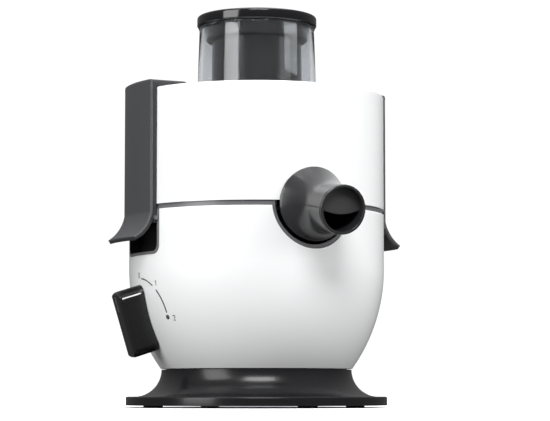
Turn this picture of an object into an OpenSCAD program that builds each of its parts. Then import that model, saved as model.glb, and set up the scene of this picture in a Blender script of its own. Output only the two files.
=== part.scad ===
// Centrifugal juicer: a motor housing on a flared pedestal, a lid cover held down by two swing
// clamps, a feed chute with its pusher, a juice spout at the front and a speed knob at the side.
// Millimetres. +Z is up, the origin is on the body's axis at the table, and the spout points
// along -Y. Left is -X, right is +X.

/* [Body] */
// Radius of the straight body wall
body_r = 120; // [114:1:146]
// Wall of the motor housing and of the lid cover
wall = 3; // [2.5:0.1:3.6]
// Radius of the arc that draws the housing in towards its neck
belly_arc_r = 161; // [155:1:190]
// Height where that arc meets the straight wall
belly_z = 130; // [126:1:134]
// Height of the motor housing's top edge
housing_top_z = 180.3; // [178:0.1:190]
// Height of the trim band between housing and lid cover
trim_h = 4.7; // [3:0.1:6]
// Depth of the trim band behind the wall
trim_inset = 1.5; // [1:0.1:2]
// Height of the lid cover, trim band to top face
lid_h = 107.4; // [100:0.1:130]
// Rounding of the lid cover's top edge
lid_edge_r = 1.6; // [0.8:0.1:2.4]

/* [Pedestal] */
// Gap between the table and the pedestal's rim
foot_gap = 2; // [1.5:0.1:3]
// Height of the pedestal's rim
rim_h = 8.3; // [7:0.1:10]
// Flat ledge between the rim's edge and the flare
rim_ledge = 8.3; // [6:0.1:12]
// Radius of the concave flare
flare_r = 25; // [23:0.5:27]
// Groove between pedestal and housing
seam_gap = 0.8; // [0.5:0.1:1.2]
// Wall of the pedestal
pedestal_wall = 2.6; // [2.2:0.1:3]
// Thickness of the bottom cover
cover_t = 2.5; // [2:0.1:3]
// Radius of one rubber foot
foot_r = 9; // [7:0.5:10]

/* [Cord inlet] */
// Radius of the bore that takes the cord
cord_bore_r = 3.6; // [3:0.1:4.2]
// Outer radius of the gland
gland_r = 7; // [6:0.5:7.5]
// Height of the gland above the table
gland_z = 20; // [19:0.5:22]

/* [Lid and feed chute] */
// Bore of the feed chute
chute_bore_r = 51; // [49:0.5:51.5]
// Wall of the feed chute where it leaves the lid cover
chute_low_wall = 5.5; // [4.5:0.1:7]
// Wall of the feed chute under its rim
chute_top_wall = 3.5; // [3:0.1:4.4]
// Height of the feed chute above the lid cover
chute_h = 67.6; // [55:0.1:90]
// Wall of the feed chute below the lid cover
chute_wall = 3; // [2:0.1:3.4]

/* [Pusher] */
// Gap between the pusher's hollow stem and the chute's bore
stem_gap = 8.5; // [7:0.5:13]
// Wall of the pusher's stem
stem_wall = 2.5; // [2:0.1:3.5]
// Gap between the collar under the pusher's cap and the chute's bore
collar_gap = 2.2; // [2:0.1:5]
// Height of that collar
collar_h = 13; // [8:0.5:20]
// Overhang of the pusher's cap beyond the chute under its rim
cap_overhang = 2.25; // [0.5:0.25:5.5]
// Thickness of the pusher's cap
cap_h = 9.6; // [7:0.1:14]

/* [Clamps] */
// Half width of one clamp
clamp_half_w = 31.5; // [26:0.5:33]
// Thickness of the clamp's inner arm
arm_t = 3.2; // [2.6:0.1:4]
// Thickness of the clamp's outer cover
skin_t = 2.4; // [1.8:0.1:3]
// Reach of the hook inward from the body wall
hook_reach = 27; // [20:0.5:34]
// Radius of the arc of the finger lever
lever_arc_r = 35; // [30:0.5:40]
// Height where the finger lever starts to bend outward
lever_z = 177; // [174:0.5:179]
// Radius of the clamp's hinge pin
clamp_pin_r = 2; // [1.5:0.1:2.4]
// Height of the clamp's hinge pin
clamp_pin_z = 172; // [170:0.5:173]
// Gap between the hinge pin and the clamp's cover at the clamp's sides
pin_side_gap = 0.87; // [0.5:0.01:2]
// Radius of the hinge barrel
barrel_r = 4.5; // [4:0.1:4.8]

/* [Spout] */
// Distance of the spout's mouth from the body wall
spout_reach = 54; // [45:1:65]
// Height of the centre of the spout's mouth
mouth_z = 172.7; // [171:0.1:175]
// Downward tilt of the spout
spout_tilt = 10; // [7:0.5:12]
// Outer radius of the spout's tube
spout_r = 22; // [20:0.1:22.5]
// Wall of the spout's tube
spout_wall = 2.5; // [2:0.1:3]
// Radius of the spout's flange
flange_r = 33.5; // [31:0.5:35]

/* [Speed knob] */
// Height of the knob's axis on the housing
knob_z = 82; // [78:1:90]
// Length of the knob's bar
knob_l = 62.5; // [50:0.5:66]
// Width of the knob's bar
knob_w = 17.5; // [14:0.5:22]
// Height of the knob over the housing
knob_h = 24; // [18:0.5:28]
// Radius of the knob's spindle
spindle_r = 3; // [2.5:0.1:4]

/* [Juice bowl and basket] */
// Room between the filter basket's top and the juice bowl's outer face
bowl_room = 11; // [9:0.5:12]
// Wall of the juice bowl and of the pulp container
bowl_wall = 2.5; // [2:0.1:3]
// Room between the chute's lower wall and the filter basket at its bottom
basket_room = 3; // [2.5:0.1:5]
// Widening of the filter basket from its bottom to its rim
basket_flare = 18; // [15:0.5:20]
// Height of the filter basket's mesh
basket_h = 67.5; // [60:0.5:72]

/* [Motor] */
// Radius of the motor shaft
shaft_r = 4; // [3:0.1:5]
// Radius of the armature core
armature_r = 25.5; // [22:0.5:27]
// Outer radius of the stator core
stator_r = 50; // [48:0.5:54]
// Height of the stator and armature stacks
stack_h = 41; // [36:0.5:43]
// Radius of the cooling fan
fan_r = 42; // [36:0.5:46]

/* [Fits] */
// Radial running clearance of shafts and pins
running_fit = 0.05; // [0.02:0.01:0.09]
// Gap between parts that move past each other
moving_gap = 0.4; // [0.35:0.05:0.7]
// Gap between parts that are seated in each other
seat_gap = 0.2; // [0.1:0.05:0.4]

/* [Hidden] */
$fn = 96;
belly_centre = [body_r - belly_arc_r, belly_z];
rim_top_z = foot_gap + rim_h;
seam_z = rim_top_z + flare_r;
housing_z = seam_z + seam_gap;
neck_r = belly_centre.x + sqrt(pow(belly_arc_r, 2) - pow(belly_z - seam_z, 2));
rim_r = neck_r + flare_r + rim_ledge;
rim_edge_r = 1.5;
inner_r = body_r - wall;
chute_low_r = chute_bore_r + chute_low_wall;
chute_top_r = chute_bore_r + chute_top_wall;
stem_r = chute_bore_r - stem_gap;
collar_r = chute_bore_r - collar_gap;
cap_r = chute_top_r + cap_overhang;
basket_low_r = chute_bore_r + chute_wall + basket_room;
basket_top_r = basket_low_r + basket_flare;
bowl_r = basket_top_r + bowl_room;
lid_z = housing_top_z + trim_h;
lid_top_z = lid_z + lid_h;

cover_z = foot_gap + 1.5;
cover_top_z = cover_z + cover_t;
cover_r = rim_r - pedestal_wall - seat_gap;
foot_pcr = neck_r + flare_r - foot_r;
foot_stud_r = 3;
screw_r = 1.7;
screw_head_r = 3.3;
screw_head_h = 1.4;
cover_screw_pcr = neck_r + 10.8;
flange_inner_r = neck_r - 21;
housing_screw_pcr = neck_r - 13.5;
housing_boss_h = 15;
gland_y = neck_r + 24;
gland_l = 32;

deck_z = 158;
deck_t = 3;
deck_top_z = deck_z + deck_t;
well_r = bowl_r + bowl_wall;
bowl_floor_z = deck_top_z + bowl_wall;
chimney_r = 22;
bowl_top_z = bowl_floor_z + 84.5;
spout_y = -(body_r + spout_reach);
trough_r = spout_r + 2.7;
notch_r = flange_r + 6;
// Distances along the spout from its mouth to the body wall and to the bowl.
wall_run = spout_reach / cos(spout_tilt);
bowl_run = (body_r + spout_reach - bowl_r) / cos(spout_tilt);
flare_run = wall_run - 25.8;
past_wall = wall_run + 35;
past_bowl = bowl_run + 40;
// The pulp container's floor clears the spout's tube where the tube meets the bowl.
tub_z = mouth_z + bowl_run * sin(spout_tilt) + spout_r / cos(spout_tilt) + 1.44;
tub_r = inner_r - 2;
tub_top_z = lid_top_z - 8.4;

basket_z = bowl_floor_z + 16.5;
mesh_z = basket_z + bowl_wall;
mesh_t = 0.8;
mesh_top_z = mesh_z + basket_h;
disc_t = 1.5;
chute_low_z = mesh_z + 8.5;
chute_top_z = lid_top_z + chute_h;
chute_flange_r = chute_low_r + 13;
foot_z = chute_low_z + 3;
cap_z = chute_top_z + moving_gap;

clamp_top_z = lid_top_z + 0.6 + arm_t + skin_t + 0.8;
arm_in_r = body_r + moving_gap;
skin_in_r = arm_in_r + arm_t;
clamp_out_r = skin_in_r + skin_t;
hook_r = body_r - hook_reach;
lever_start = 12;
lever_end = 58;
lever_skin_t = 1.7;
lever_centre = [clamp_out_r + lever_arc_r * cos(lever_start), lever_z + lever_arc_r * sin(lever_start)];
// Radius of the cover's inner face at the pin's height; the pin clears it at the clamp's sides.
cover_face_r = lever_centre.x - sqrt(pow(lever_arc_r + skin_t, 2) - pow(lever_centre.y - clamp_pin_z, 2));
clamp_pin_x = sqrt(pow(cover_face_r, 2) - pow(clamp_half_w, 2)) - clamp_pin_r - pin_side_gap;
lever_low_z = lever_centre.y - (lever_arc_r + skin_t + lever_skin_t) * sin(lever_end);
recess_half_w = clamp_half_w + 0.5;
recess_low_z = lever_low_z - 9;
recess_x = body_r - 16;
liner_wall = 2.5;

lug_centre = 6.5;
lug_r = 1.5;
lug_angle = 48;
plunger_r = 2;
plunger_z = clamp_pin_z - 3.7;
plunger_x = clamp_pin_x - lug_centre * cos(lug_angle) - lug_r - moving_gap + 0.05;
liner_back_x = recess_x - liner_wall;

knob_tilt = asin((belly_z - knob_z) / belly_arc_r);
knob_at_r = belly_centre.x + belly_arc_r * cos(knob_tilt);
switch_depth = 12;
switch_t = 24;

shaft_top_z = basket_z - 4;
bearing_r = 9;
bolt_r = 2;
bolt_pcr = stator_r - 3.5;
stack_z = 91;
stack_top_z = stack_z + stack_h;
low_bracket_z = 60;
top_bracket_z = 143;
bracket_t = 4;
fan_z = 44;
commutator_r = 11;
commutator_z = 70;
coil_in_r = armature_r + 3.5;
coil_out_r = stator_r - 8;

// Points on an arc of radius r about c, from angle a0 to a1.
function arc(c, r, a0, a1, n = 8) = [for (i = [0:n]) c + r * [cos(a0 + (a1 - a0) * i / n), sin(a0 + (a1 - a0) * i / n)]];
// Angle on the belly arc of radius r at height z.
function belly_angle(r, z) = asin((z - belly_z) / r);

// A ring of rectangular section between two radii and two heights.
module ring(r_in, r_out, z0, z1) {
  translate([0, 0, z0]) difference() {
    cylinder(r = r_out, h = z1 - z0);
    translate([0, 0, -1]) cylinder(r = r_in, h = z1 - z0 + 2);
  }
}

// Part of such a ring, centred on angle mid and spread wide.
module sector(r_in, r_out, z0, z1, mid, spread) {
  rotate([0, 0, mid - spread / 2]) translate([0, 0, z0])
    rotate_extrude(angle = spread) translate([r_in, 0]) square([r_out - r_in, z1 - z0]);
}

// Copies of the children, equally spaced about the axis.
module around(count, start = 0) {
  for (i = [0:count - 1]) rotate([0, 0, start + i * 360 / count]) children();
}

// The spout's frame: origin at the mouth's centre, +Z out of the mouth.
module along_spout() {
  translate([0, spout_y, mouth_z]) rotate([90 + spout_tilt, 0, 0]) children();
}

// The knob's frame: origin on the housing, +Z outward, +X up along the housing.
module at_knob() {
  translate([-knob_at_r, 0, knob_z]) rotate([0, -90 - knob_tilt, 0]) children();
}

// The solid inside of the housing, from its neck to its top.
module housing_inside() {
  rotate_extrude() polygon(concat(
    [[0, housing_z]],
    arc(belly_centre, belly_arc_r - wall, belly_angle(belly_arc_r - wall, housing_z), 0),
    [[inner_r, housing_top_z], [0, housing_top_z]]
  ));
}

// Upright outline with rounded lower corners, for the clamp recess.
module recess_outline(half_w, low_z, corner_r) {
  polygon(concat(
    arc([-half_w + corner_r, low_z + corner_r], corner_r, 180, 270, 6),
    arc([half_w - corner_r, low_z + corner_r], corner_r, 270, 360, 6),
    [[half_w, housing_top_z + 5], [-half_w, housing_top_z + 5]]
  ));
}

// The block that the recess's liner fills, or cuts out of its neighbours.
module recess_block(gap = 0) {
  half_w = recess_half_w + liner_wall + gap;
  translate([liner_back_x - gap, 0, 0]) rotate([90, 0, 90]) linear_extrude(40)
    recess_outline(half_w, recess_low_z - liner_wall - gap, 8);
}

module pedestal() {
  flare_centre = [neck_r + flare_r, seam_z];
  color([0.2, 0.2, 0.21]) difference() {
    union() {
      rotate_extrude() polygon(concat(
        [[rim_r - pedestal_wall, foot_gap], [rim_r, foot_gap]],
        arc([rim_r - rim_edge_r, rim_top_z - rim_edge_r], rim_edge_r, 0, 90, 5),
        arc(flare_centre, flare_r, 270, 180, 12),
        [[neck_r - 4.5, seam_z], [neck_r - 4.5, housing_z], [flange_inner_r, housing_z]],
        [[flange_inner_r, seam_z - 3], [neck_r - pedestal_wall, seam_z - 3]],
        arc(flare_centre, flare_r + pedestal_wall, 186, 270, 12),
        [[rim_r - pedestal_wall, rim_top_z - pedestal_wall]]
      ));
      around(4, 45) translate([cover_screw_pcr, 0, cover_top_z]) cylinder(r = 4, h = 6.5);
    }
    around(4, 45) translate([cover_screw_pcr, 0, 0]) cylinder(r = screw_r + seat_gap, h = cover_top_z + 4.5);
    around(4) translate([housing_screw_pcr, 0, seam_z - 5]) cylinder(r = screw_r + seat_gap, h = 10);
    translate([0, neck_r - 30, gland_z]) rotate([-90, 0, 0]) cylinder(r = gland_r + seat_gap, h = 60);
  }
}

module bottom_cover() {
  color([0.12, 0.12, 0.12]) difference() {
    translate([0, 0, cover_z]) cylinder(r = cover_r, h = cover_t);
    around(4) translate([foot_pcr, 0, 0]) cylinder(r = foot_stud_r + seat_gap, h = 20);
    around(4, 45) translate([cover_screw_pcr, 0, 0]) cylinder(r = screw_r + seat_gap, h = 20);
    // Air slots under the fan.
    for (i = [-3:3]) translate([i * 12 - 2.5, -30, 0]) cube([5, 60, 20]);
  }
}

module rubber_feet() {
  color([0.08, 0.08, 0.08]) around(4) translate([foot_pcr, 0, 0]) {
    cylinder(r = foot_r, h = cover_z);
    cylinder(r = foot_stud_r, h = cover_top_z + 1);
  }
}

module cover_screws() {
  color([0.6, 0.6, 0.62]) around(4, 45) translate([cover_screw_pcr, 0, cover_z - screw_head_h]) {
    cylinder(r = screw_head_r, h = screw_head_h);
    cylinder(r = screw_r, h = screw_head_h + cover_t + 4);
  }
}

module housing_screws() {
  head_z = seam_z - 3 - screw_head_h;
  color([0.6, 0.6, 0.62]) around(4) translate([housing_screw_pcr, 0, head_z]) {
    cylinder(r = screw_head_r, h = screw_head_h);
    cylinder(r = screw_r, h = screw_head_h + 14);
  }
}

module cord_gland() {
  color([0.1, 0.1, 0.1]) translate([0, gland_y, gland_z]) rotate([90, 0, 0]) difference() {
    union() {
      cylinder(r = gland_r, h = gland_l);
      translate([0, 0, gland_l - 3]) cylinder(r = gland_r + 3, h = 3);
      for (i = [0:1]) translate([0, 0, 1.5 + i * 3.4]) cylinder(r = gland_r + 0.8, h = 1.6);
    }
    translate([0, 0, -1]) cylinder(r = cord_bore_r, h = gland_l + 2);
  }
}

module motor_housing() {
  a_low = belly_angle(belly_arc_r, housing_z);
  a_low_in = belly_angle(belly_arc_r - wall, housing_z + wall);
  ledge_z = housing_top_z - deck_t;
  color([0.95, 0.95, 0.95]) difference() {
    union() {
      rotate_extrude() polygon(concat(
        [[flange_inner_r + 1, housing_z]],
        arc(belly_centre, belly_arc_r, a_low, 0, 14),
        [[body_r, housing_top_z], [inner_r, housing_top_z], [inner_r, ledge_z]],
        [[inner_r - 3.5, ledge_z], [inner_r - 3.5, ledge_z - 1], [inner_r, ledge_z - 5]],
        arc(belly_centre, belly_arc_r - wall, 0, a_low_in, 14),
        [[flange_inner_r + 1, housing_z + wall]]
      ));
      around(4) translate([housing_screw_pcr, 0, housing_z]) cylinder(r = 5, h = housing_boss_h);
      // Rails that hold the control board.
      intersection() {
        for (side = [-1, 1]) translate([side * 27 - 2, neck_r - 9, housing_z + 2]) cube([4, 50, 64]);
        housing_inside();
      }
    }
    around(4) translate([housing_screw_pcr, 0, 0]) cylinder(r = screw_r + 0.02, h = housing_z + 12);
    for (side = [0, 1]) mirror([side, 0, 0]) recess_block(seat_gap);
    at_knob() translate([0, 0, -10]) cylinder(r = spindle_r + 0.6, h = 20);
    along_spout() translate([0, 0, -past_wall]) cylinder(r = notch_r, h = past_wall);
  }
}

module motor_deck() {
  ring_in = well_r;
  color([0.3, 0.3, 0.32]) difference() {
    union() {
      ring(12, ring_in + 2.5, deck_z, deck_top_z);
      ring(ring_in, ring_in + 2.5, deck_z, housing_top_z);
      ring(ring_in, inner_r - seat_gap, housing_top_z - deck_t, housing_top_z);
      // Trough under the spout.
      intersection() {
        along_spout() translate([0, 0, -bowl_run - 1]) difference() {
          cylinder(r = trough_r + bowl_wall, h = bowl_run - flare_run);
          cylinder(r = trough_r, h = bowl_run - flare_run);
        }
        ring(ring_in + 1, inner_r - 4, mouth_z - 30, housing_top_z);
      }
    }
    along_spout() translate([0, 0, -bowl_run - 6]) cylinder(r = trough_r, h = bowl_run + 6);
    along_spout() translate([0, 0, -wall_run - 13]) cylinder(r = notch_r, h = 34);
    for (side = [0, 1]) mirror([side, 0, 0]) recess_block(seat_gap);
  }
}

module trim_ring() {
  out_r = body_r - trim_inset;
  in_r = inner_r - 1.5;
  color([0.42, 0.42, 0.43]) {
    difference() {
      ring(in_r, out_r, housing_top_z, lid_z);
      along_spout() translate([0, 0, -past_wall]) cylinder(r = notch_r - 1, h = past_wall);
    }
    // The band dips round the underside of the spout's flange.
    intersection() {
      ring(in_r, out_r, mouth_z - 45, lid_z);
      along_spout() translate([0, 0, -past_wall]) difference() {
        cylinder(r = notch_r - 0.3, h = past_wall);
        translate([0, 0, -1]) cylinder(r = notch_r - 3.3, h = past_wall + 2);
      }
    }
  }
}

// Pocket in the housing that the clamp's lever and hinge sit in, drawn on the right side.
module clamp_recess(with_plunger) {
  roof_z = housing_top_z - liner_wall;
  color([0.25, 0.25, 0.26]) difference() {
    intersection() {
      recess_block();
      translate([0, 0, recess_low_z - 10]) cylinder(r = body_r + 0.3, h = housing_top_z - recess_low_z + 10);
    }
    translate([recess_x, 0, 0]) rotate([90, 0, 90]) linear_extrude(40) intersection() {
      recess_outline(recess_half_w, recess_low_z, 6);
      translate([-recess_half_w, 0]) square([2 * recess_half_w, roof_z]);
    }
    translate([clamp_pin_x - barrel_r - 0.6, -recess_half_w, roof_z - 2]) cube([40, 2 * recess_half_w, 10]);
    translate([clamp_pin_x, -50, clamp_pin_z]) rotate([-90, 0, 0]) cylinder(r = clamp_pin_r, h = 100);
    if (with_plunger) translate([recess_x - 20, 0, plunger_z]) rotate([0, 90, 0]) cylinder(r = plunger_r + running_fit, h = 40);
  }
}

module left_clamp_recess() { mirror([1, 0, 0]) clamp_recess(false); }
module right_clamp_recess() { clamp_recess(true); }

module clamp_pin() {
  half_l = recess_half_w + liner_wall;
  color([0.7, 0.7, 0.72]) translate([clamp_pin_x, -half_l, clamp_pin_z])
    rotate([-90, 0, 0]) cylinder(r = clamp_pin_r, h = 2 * half_l);
}

module left_clamp_pin() { mirror([1, 0, 0]) clamp_pin(); }
module right_clamp_pin() { clamp_pin(); }

// Bearing plate with four spacers; the bearing sits in its boss.
module motor_bracket(plate_z, boss_z0, boss_z1, spacer_z0, spacer_z1) {
  color([0.5, 0.52, 0.55]) difference() {
    union() {
      ring(bearing_r, bearing_r + 4, boss_z0, boss_z1);
      ring(bearing_r + 2, stator_r + 2, plate_z, plate_z + bracket_t);
      around(4) translate([bolt_pcr, 0, spacer_z0]) cylinder(r = 4.5, h = spacer_z1 - spacer_z0);
    }
    around(4) translate([bolt_pcr, 0, 0]) cylinder(r = bolt_r + seat_gap, h = 200);
    around(4, 45) sector(18, 34, plate_z - 1, plate_z + bracket_t + 1, 0, 44);
  }
}

module lower_motor_bracket() { motor_bracket(low_bracket_z, low_bracket_z - 3, low_bracket_z + 7, low_bracket_z + 1, stack_z); }
module upper_motor_bracket() { motor_bracket(top_bracket_z, top_bracket_z, top_bracket_z + 11, stack_top_z, top_bracket_z + 1); }

module stator_core() {
  color([0.45, 0.45, 0.48]) difference() {
    ring(armature_r + 1.5, stator_r, stack_z, stack_top_z);
    for (pole = [0, 180]) rotate([0, 0, pole]) for (side = [-1, 1])
      sector(armature_r + 1, coil_out_r + 0.5, stack_z - 1, stack_top_z + 1, side * 50, 24);
    around(4) translate([bolt_pcr, 0, 0]) cylinder(r = bolt_r + seat_gap, h = 200);
  }
}

module field_coils() {
  color([0.72, 0.42, 0.18]) for (pole = [0, 180]) rotate([0, 0, pole]) {
    sector(coil_in_r, coil_out_r, stack_z - 8, stack_z - 0.3, 0, 120);
    sector(coil_in_r, coil_out_r, stack_top_z + 0.3, stack_top_z + 8.3, 0, 120);
    for (side = [-1, 1]) sector(coil_in_r + 1, coil_out_r - 1, stack_z - 4, stack_top_z + 4, side * 49, 18);
  }
}

module motor_bolts() {
  color([0.6, 0.6, 0.62]) around(4) translate([bolt_pcr, 0, low_bracket_z - 2.5]) {
    cylinder(r = bolt_r, h = top_bracket_z + bracket_t + 1 - low_bracket_z);
    cylinder(r = bolt_r * 2, h = 2.5);
  }
}

module motor_dampers() {
  color([0.1, 0.1, 0.1]) around(4, 45) translate([stator_r - 6, 0, top_bracket_z + bracket_t])
    cylinder(r = 7, h = deck_z - top_bracket_z - bracket_t);
}

module bearing(z) { color([0.75, 0.6, 0.3]) ring(shaft_r + running_fit, bearing_r, z, z + 9); }
module lower_bearing() { bearing(low_bracket_z - 2.5); }
module upper_bearing() { bearing(top_bracket_z + 1.5); }

module brush_holders() {
  mid_z = commutator_z + 7;
  color([0.75, 0.62, 0.3]) around(2, 45) difference() {
    union() {
      translate([14, -5, mid_z - 5]) cube([24, 10, 10]);
      translate([36, -5, low_bracket_z + bracket_t]) cube([6, 10, mid_z + 5 - low_bracket_z - bracket_t]);
    }
    translate([10, -3.2, mid_z - 3.2]) cube([25, 6.4, 6.4]);
  }
}

module carbon_brushes() {
  color([0.15, 0.15, 0.16]) around(2, 45)
    translate([commutator_r + moving_gap, -3.1, commutator_z + 3.9]) cube([18, 6.2, 6.2]);
}

module shaft_seal() {
  color([0.15, 0.15, 0.15]) {
    ring(shaft_r + moving_gap, 12, deck_z, deck_top_z);
    ring(shaft_r + moving_gap, 8, deck_top_z, deck_top_z + 1.6);
  }
}

module speed_switch() {
  color([0.2, 0.2, 0.25]) at_knob() difference() {
    union() {
      translate([-17, -15, -switch_depth - switch_t]) cube([34, 30, switch_t]);
      translate([0, 0, -switch_depth - 1]) cylinder(r = spindle_r + 2.5, h = switch_depth + 1 - wall - 0.5);
    }
    translate([0, 0, -switch_depth - switch_t + 3]) cylinder(r = spindle_r + running_fit, h = 60);
  }
}

module control_board() {
  color([0.1, 0.4, 0.2]) translate([-24.8, neck_r - 4.2, housing_z + 19]) cube([49.6, 1.6, 44]);
}

module suppressor_capacitor() {
  color([0.9, 0.75, 0.2]) translate([-9, neck_r - 14.2, housing_z + 27]) cube([18, 10, 15]);
}

module interlock_switch() {
  color([0.2, 0.2, 0.22]) difference() {
    translate([well_r + 3.2, -10, plunger_z - 6]) cube([liner_back_x - well_r - 3.2, 20, 12]);
    translate([liner_back_x - 6.5, 0, plunger_z]) rotate([0, 90, 0]) cylinder(r = plunger_r + moving_gap, h = 20);
  }
}

module juice_bowl() {
  in_r = bowl_r - bowl_wall;
  color([0.35, 0.35, 0.37]) difference() {
    rotate_extrude() polygon([
      [chimney_r, bowl_floor_z], [bowl_r, bowl_floor_z], [bowl_r, tub_z - 5.5], [bowl_r + 4, tub_z - 2.5],
      [bowl_r + 4, tub_z], [bowl_r, tub_z], [bowl_r, bowl_top_z], [in_r, bowl_top_z],
      [in_r, bowl_floor_z + bowl_wall], [chimney_r + bowl_wall, bowl_floor_z + bowl_wall],
      [chimney_r + bowl_wall, basket_z - 3.5], [chimney_r, basket_z - 3.5]
    ]);
    along_spout() translate([0, 0, -past_bowl]) cylinder(r = spout_r + seat_gap, h = past_bowl);
  }
  color([0.35, 0.35, 0.37]) ring(bowl_r - 26, bowl_r - 23, deck_top_z, bowl_floor_z + 0.5);
}

module spout() {
  bore_r = spout_r - spout_wall;
  throat = flange_r - 1.5;
  arc_r = 20;
  arc_end = acos(1 - (throat - spout_r) / arc_r);
  disc_y = -(body_r + 3.6);
  baffle_depth = 9;
  color([0.35, 0.35, 0.36]) difference() {
    union() {
      // Tube with the concave flare that runs out to the flange.
      along_spout() rotate_extrude() polygon(concat(
        [[bore_r, 0], [spout_r - 0.8, 0], [spout_r, -0.8]],
        arc([spout_r + arc_r, -flare_run], arc_r, 180, 180 + arc_end, 8),
        [[throat, -wall_run - 11], [spout_r, -wall_run - 11], [spout_r, -bowl_run - 7], [bore_r, -bowl_run - 7]]
      ));
      translate([0, disc_y, mouth_z + spout_reach * tan(spout_tilt)]) rotate([-90, 0, 0])
        cylinder(r = flange_r, h = 20);
      // Half-round baffle behind the mouth.
      along_spout() translate([0, 0, -baffle_depth]) intersection() {
        cylinder(r = bore_r + 0.5, h = 2);
        translate([0, 40.5, -1]) cylinder(r = 45, h = 4);
      }
    }
    // The flange is saddled onto the body wall.
    difference() {
      translate([0, 0, mouth_z - 60]) cylinder(r = body_r + moving_gap, h = 130);
      along_spout() translate([0, 0, -past_bowl]) cylinder(r = spout_r, h = past_bowl);
      // Closing plate behind the gap round the flange.
      intersection() {
        along_spout() translate([0, 0, -wall_run - 7.2]) cylinder(r = flange_r + 2.2, h = 6);
        translate([0, 0, mouth_z - 60]) cylinder(r = tub_r + 0.8, h = lid_z + 22 - mouth_z + 60);
      }
    }
    translate([0, 0, mouth_z - 60]) cylinder(r = bowl_r - bowl_wall, h = 130);
    along_spout() translate([0, 0, -past_bowl]) cylinder(r = bore_r, h = past_bowl - baffle_depth - 1);
  }
}

module pulp_container() {
  in_r = bowl_r + bowl_wall;
  floor_z = tub_z + bowl_wall;
  lip_z = bowl_top_z + 1;
  color([0.6, 0.6, 0.62]) rotate_extrude() polygon([
    [in_r, tub_z], [tub_r, tub_z], [tub_r, tub_top_z], [tub_r - bowl_wall, tub_top_z],
    [tub_r - bowl_wall, floor_z], [in_r + bowl_wall, floor_z], [in_r + bowl_wall, lip_z + bowl_wall],
    [bowl_r - 4, lip_z + bowl_wall], [bowl_r - 4, lip_z], [in_r, lip_z]
  ]);
}

module lid_cover() {
  hole_r = chute_low_r + seat_gap;
  under_z = lid_top_z - wall;
  color([0.96, 0.96, 0.96]) difference() {
    rotate_extrude() polygon(concat(
      [[inner_r, lid_z], [body_r, lid_z]],
      arc([body_r - lid_edge_r, lid_top_z - lid_edge_r], lid_edge_r, 0, 90, 5),
      [[hole_r, lid_top_z], [hole_r, under_z], [inner_r, under_z]]
    ));
    along_spout() translate([0, 0, -past_wall]) cylinder(r = flange_r - 3, h = past_wall);
  }
}

module lid_seal() {
  under_z = lid_top_z - wall;
  color([0.2, 0.2, 0.2]) rotate_extrude() polygon([
    [tub_r - bowl_wall - 1.5, under_z], [tub_r - bowl_wall - 1.5, tub_top_z], [tub_r, tub_top_z],
    [tub_r, under_z - 1], [tub_r - 1, under_z]
  ]);
}

module feed_chute() {
  under_z = lid_top_z - wall;
  low_r = chute_bore_r + chute_wall;
  color([0.75, 0.77, 0.8, 0.45]) rotate_extrude() polygon([
    [chute_bore_r, chute_low_z], [low_r, chute_low_z], [low_r, under_z - 3], [chute_flange_r, under_z - 3],
    [chute_flange_r, under_z], [chute_low_r, under_z], [chute_low_r, lid_top_z + 4],
    [chute_top_r, chute_top_z - 3], [chute_top_r + 0.8, chute_top_z - 2.4], [chute_top_r + 0.8, chute_top_z - 0.6],
    [chute_top_r + 0.2, chute_top_z], [chute_bore_r + 0.6, chute_top_z], [chute_bore_r, chute_top_z - 0.6]
  ]);
}

module motor_shaft() {
  color([0.7, 0.7, 0.72]) translate([0, 0, fan_z - 3]) cylinder(r = shaft_r, h = shaft_top_z - fan_z + 3);
}

module armature_core() {
  color([0.45, 0.45, 0.48]) difference() {
    ring(shaft_r, armature_r, stack_z, stack_top_z);
    around(12) translate([armature_r - 5, -1.2, stack_z - 1]) cube([8, 2.4, stack_h + 2]);
  }
}

module armature_winding() {
  color([0.72, 0.42, 0.18]) {
    ring(shaft_r, armature_r - 3, stack_z - 6.5, stack_z);
    ring(shaft_r, armature_r - 3, stack_top_z, stack_top_z + 7);
  }
}

module commutator() {
  color([0.75, 0.5, 0.3]) difference() {
    ring(shaft_r, commutator_r, commutator_z, commutator_z + 14);
    around(12, 15) translate([commutator_r - 0.8, -0.3, commutator_z + 2]) cube([2, 0.6, 14]);
  }
}

module cooling_fan() {
  color([0.15, 0.15, 0.15]) {
    ring(shaft_r, 9, fan_z, fan_z + 11);
    ring(8.5, fan_r, fan_z, fan_z + 1.6);
    around(9) translate([8, -0.8, fan_z]) rotate([0, 0, 18]) cube([fan_r - 11, 1.6, 9.5]);
  }
}

module drive_coupling() {
  color([0.12, 0.12, 0.12]) {
    ring(shaft_r, 11, deck_top_z + 3, shaft_top_z);
    around(6) translate([9, -1.5, deck_top_z + 3]) cube([4, 3, shaft_top_z - deck_top_z - 3]);
  }
}

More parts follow.
